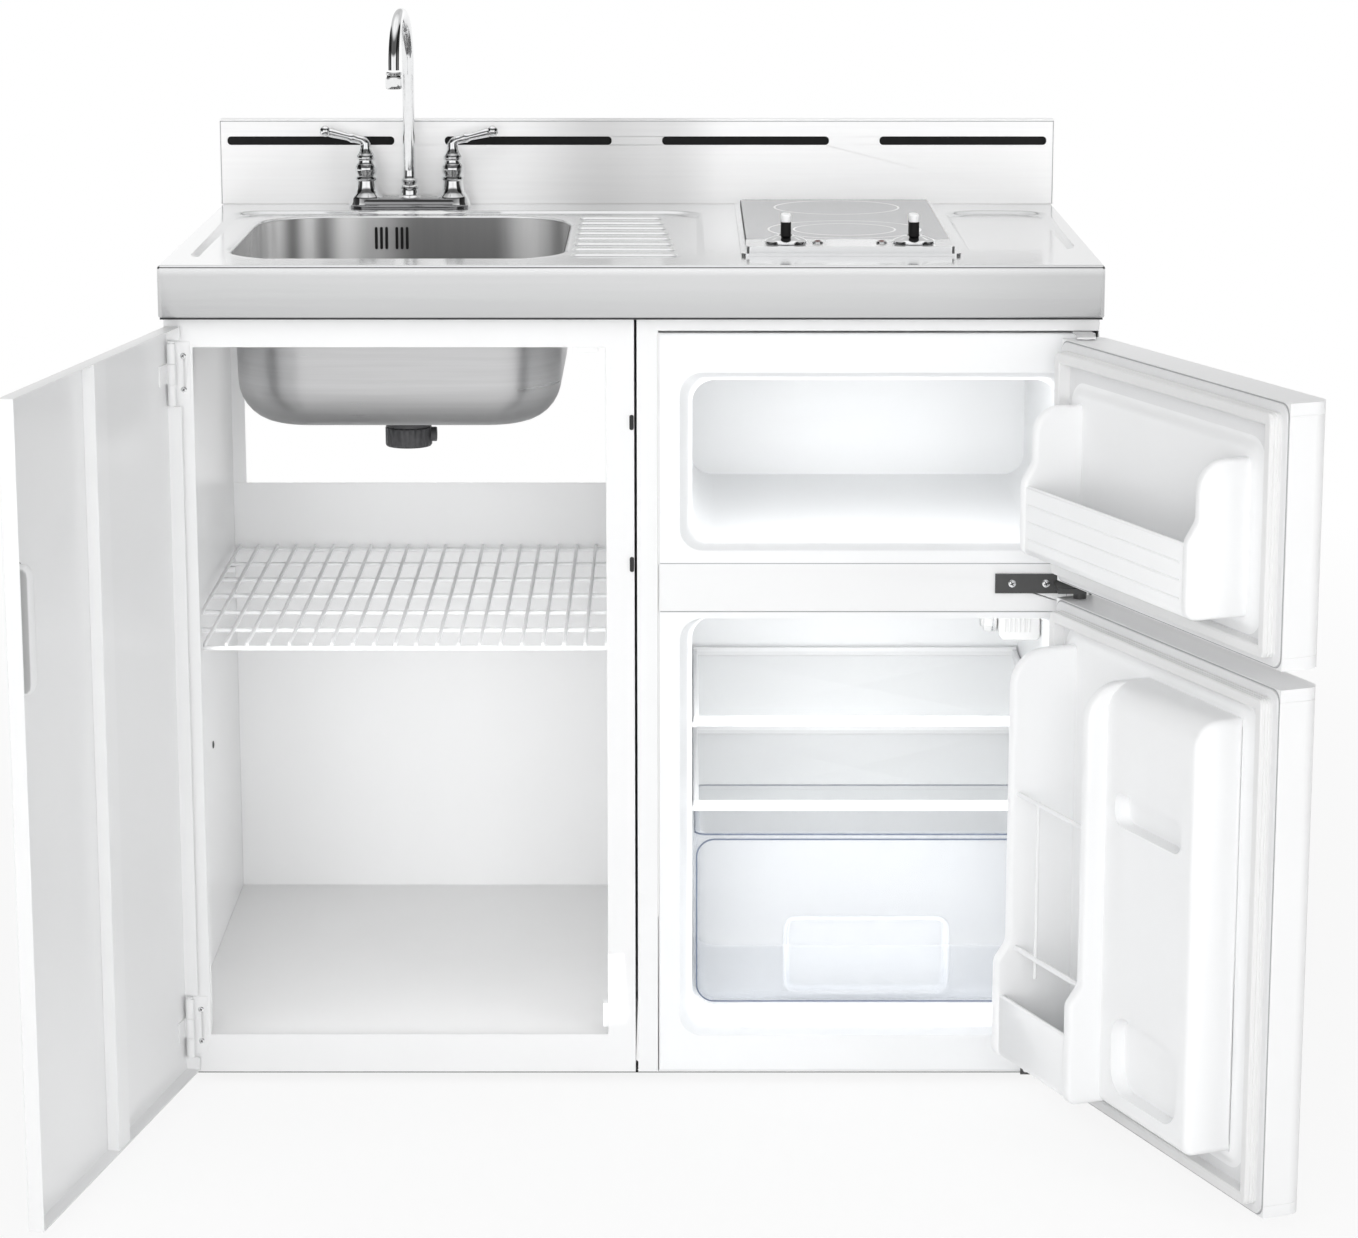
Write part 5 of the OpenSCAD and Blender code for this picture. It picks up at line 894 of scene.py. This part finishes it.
gasket("freezer_seal", 567, 824.5, "freezer_door")
gasket("fridge_seal", 16, 548.5, "fridge_door")

# ---------------------------------------------------------------- refrigerator inside
SHELVES = (381.0, 285.0)
s = Shape()
for z in SHELVES:
    nose = fillet([(-198, z - 3), (-189, z - 3), (-189, z - 0.2), (-194, z - 0.2), (-194, z + 4.4), (-189, z + 4.4),
                   (-189, z + 8), (-198, z + 8)], [3, 1.2, 0.3, 0.3, 0.3, 0.3, 2, 4], 4)
    s.slab(nose, 66, 450, 0.8, 0.8, YZ, 2)
    for x in (66.0, 444.0):
        s.block(x, x + 6, -190, 149, z - 2, z + 6.5, 1.6)
    s.block(66, 450, 143, 149.5, z - 2, z + 9, 1.6)
s.made("shelf_frames", "plastic_white", slot="white_plastic", gone=("shelf_trims",))
s = Shape()
for z in SHELVES:
    s.block(70, 446, -194, 145, z + 0.1, z + 4.1, 0.5)
s.made("shelf_panes", "shelf_glass", slot="shelf_glass", gone=("glass_shelves",))

CRISPER, CRISPER_R = (66.5, 449.5, -198, 17), 14.0


def bin_rings(g, top, rb):
    """The crisper's rings from its floor up to the heights in top; g moves them inwards."""
    x0, x1, y0, y1, z0 = 66.5 + g, 449.5 - g, -198 + g, 17 - g, 60.3 + g
    rs = []
    for k in range(7):
        a = math.pi / 2 * k / 6
        i = rb * (1 - math.sin(a))
        rs.append(level(rrect(x0 + i, x1 - i, y0 + i * 0.35, y1 - i * 0.35, max(CRISPER_R - g, 3), 0, 8),
                        z0 + rb * (1 - math.cos(a))))
    return rs + [level(rrect(x0, x1, y0, y1, CRISPER_R - g, 0, 8), z) for z in top]


s = Shape()
rim = steps(*CRISPER, CRISPER_R, (
    (0, 254.8), (0.6, 255.9), (1.6, 256.3), (5.6, 256.3), (6.4, 255.6), (6.4, 251.6), (5.6, 250.9), (2.6, 250.2)))
s.rings(bin_rings(0, (120, 180, 240, 250), 22) + rim + bin_rings(2.4, (120, 180, 240, 248), 20)[::-1])
crisper = s.made("crisper_bin", "clear", "crisper_drawer", "clear_plastic", ("crisper_drawer",), angle=40)
carve(crisper, Shape().slab(rrect(171, 345, 76, 156.5, 10, n=6), -196.2, -190, 0.1, 0.1, XZ_BACK, 1))
s = Shape()
s.rings(steps(169, 347, 74.3, 158.3, 12, (
    (-3.2, -198.2), (0, -197.4), (1.2, -196), (2.2, -188), (4.2, -185.0), (8, -184.2))), (False, True), XZ_BACK)
s.made("crisper_grip_recess", "clear", "crisper_drawer", "clear_plastic", angle=40,
       mods=(("SOLIDIFY", {"thickness": 0.0016, "offset": 0.0}),))
# dark rods along the crisper's rim and round its front face: painted refraction at its rounded edges
s = Shape()
s.tube(level(rrect(67.7, 448.3, -196.8, 15.8, 13, 0, 8) + [(448.299, 2.8)], 255.2), 1.1, 8)
face = rrect(69.5, 446.5, 63.0, 250.0, 20, 0, 10)
s.tube([(p[0], -198.4, p[1]) for p in face + face[:1]], 0.9, 8)
s.made("crisper_edge_painted_refraction", "clear_edge", "crisper_drawer", "clear_plastic")

s = Shape()
case = fillet([(404.5, 460.5), (451, 460.5), (451, 509), (404.5, 509)], [10, 6, 16, 16], 6)
s.slab(case, 65.5, 134.5, 5, 3, XZ, 4)
for k in range(6):
    s.block(410 + 5.4 * k, 412.4 + 5.4 * k, -135.6, -134.0, 470, 500, 0.7)
s.made("thermostat_case", "ivory", slot="ivory_plastic", gone=("thermostat_housing",))
DIAL = axes((0, 1, 0), (0, 0, 1), (-1, 0, 0), (403.7, -109, 485))
s = Shape()
s.lathe([(3, -12), (3, 0.2), (17.6, 0.3), (18.4, 1.2, 0.45), (18.6, 8, 0.45), (18.2, 12.4, 0.45), (16.8, 14.6, 0),
         (13.6, 15.2, 0), (13.0, 17.2, 0), (12.0, 17.9, 0), (4.0, 17.6, 0), (3.0, 16.8, 0), (0, 16.6, 0)],
        seg=144, xf=DIAL, lobes=24)
s.block(-1.2, 1.2, 6, 12.6, 17.4, 18.4, 0.3, xf=DIAL)
s.made("thermostat_knob", "ivory", "thermostat_dial", "ivory_plastic", ("thermostat_dial",))

# ---------------------------------------------------------------- painted seam shadows, plugs and trims
# dark strips painted as the shadow in the seams across the mullion and down its side
s = Shape()
for z in (526.2, 578.4):
    s.block(30, 486, -285.25, -284.6, z, z + 0.9, 0.1)
s.block(463.2, 463.9, -285.2, -284.6, 20, 820, 0.1)
s.made("mullion_seam_shadows", "seam", slot="white_enamel")
s = Shape()
s.lathe([(18.7, 3.0), (18.9, 3.4), (18.9, 5.8), (18.7, 6.2), (17.9, 6.2), (17.9, 3.0)], seg=72, xf=DIAL, join=True)
s.lathe([(9.4, 17.4), (9.6, 18.0), (8.8, 18.1), (8.7, 17.4)], seg=48, xf=DIAL, join=True)
s.made("dial_ring", "chrome", "thermostat_dial", "chrome")
s = Shape()
for y in (-160.0, 30.0):
    s.lathe([(2.6, -0.4), (4.4, -0.2), (4.6, 0.4), (3.9, 1.1), (2.0, 1.5), (0, 1.6)], seg=24,
            xf=axes((0, 1, 0), (0, 0, 1), (1, 0, 0), (-490.8, y, 300)))
s.made("side_plugs", "plastic_drain", slot="black_plastic")

# dark strips painted as shade along the folds of the backsplash's top and sides
s = Shape()
lo, hi = (v * 1000 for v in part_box("backsplash"))
x0, x1, y0 = lo[0], hi[0], 283.0
for a, b, c in ((x0 + 1, x1 - 1, 997.6), (x0 + 0.6, x0 + 1.5, 900.4), (x1 - 1.5, x1 - 0.6, 900.4)):
    s.block(a, b, y0 - 0.35, y0 + 0.1, c, 998.6, 0.1)
s.made("splash_fold_shade", "seam", slot="stainless")
# dark strip painted as the shadow under the front apron, and one painted as the shadow in the gap at the foot
s = Shape()
s.block(-493, 493, -304.2, -301.2, 842.9, 844.3, 0.4)
s.made("apron_shadow_strip", "plastic_drain", slot="black_rubber")
s = Shape()
s.block(-491, 490, -283.5, -281.5, 8.6, 11.1, 0.4)
s.made("toe_shadow_strip", "slot_black", slot="black_rubber")

# ---------------------------------------------------------------- screws, their cross recesses painted black as shade
s, t = Shape(), Shape()


def cross_screw(x, y, z, r, h):
    f = axes((1, 0, 0), (0, 0, 1), (0, -1, 0), (x, y, z))
    s.lathe([(r * 0.45, -3.0), (r * 0.45, 0.0), (r, 0.05), (r, h * 0.3), (r * 0.86, h * 0.68), (r * 0.55, h * 0.94),
             (0, h)], seg=32, xf=f)
    # black blocks on the head: painted shade in the cross recess
    for a in (0.5, 0.5 + math.pi / 2):
        g = f @ Matrix.Rotation(a, 4, "Z")
        t.block(-r * 0.52, r * 0.52, -r * 0.13, r * 0.13, h * 0.6, h * 1.02, 0.1, xf=g)


for x in (405, 441):
    cross_screw(x, -288, 557.75, 4.5, 2.2)
for x in (430, 450):
    cross_screw(x, -288, 14, 3.6, 1.8)
for z in (46, 82, 766, 802):
    cross_screw(-472, -286.2, z, 3.2, 1.4)
s.made("cross_screws", "chrome", slot="chrome", gone=("hinge_screws",))
t.made("screw_recess_shade", "plastic_black", slot="black_plastic")

# ---------------------------------------------------------------- cabinet door pull; dark backing painted as the shade behind the vent slots
PULL, PULL_EDGE = CABINET @ XZ_BACK, (-44, -12, 544, 672, 15.9)
# dark ring painted as the shadow in the gap round the pull cup
s = Shape()
s.rings(steps(*PULL_EDGE, ((-0.2, -302.2), (-1.9, -302.4), (-1.9, -301.4), (-0.2, -301.4)), 10), OPEN, PULL, join=True)
s.made("pull_gap_shadow", "gap_shadow_dark", "cabinet_door", "black_rubber", angle=45)
s = Shape()
s.rings(steps(*PULL_EDGE, (
    (-3, -303.6), (-3, -304.3), (-2.2, -304.5), (0.6, -304.5), (1.6, -303.6), (1.8, -296), (3.6, -291.4),
    (8.0, -290.0), (15.6, -290.0), (15.8, -288.6), (9.0, -288.5), (4.2, -289.4), (1.4, -292.4), (0.4, -296.5),
    (0.3, -303.0)), 10), OPEN, PULL, join=True)
s.made("pull_cup", "plastic_pull_painted_shade", "cabinet_door", "white_plastic", ("cabinet_door_pull",), angle=45)
# black strips behind the backsplash's vent slots: painted shade of the hollow behind them
s = Shape()
for i in range(4):
    x = -486 + i * (990 - 18 - 198) / 3
    s.slab(rrect(x - 3, x + 201, 967, 983, 7, n=5), -286.6, -285.0, 0.3, 0.3, XZ, 2)
s.made("vent_shadow_backing", "slot_black", slot="black_rubber")
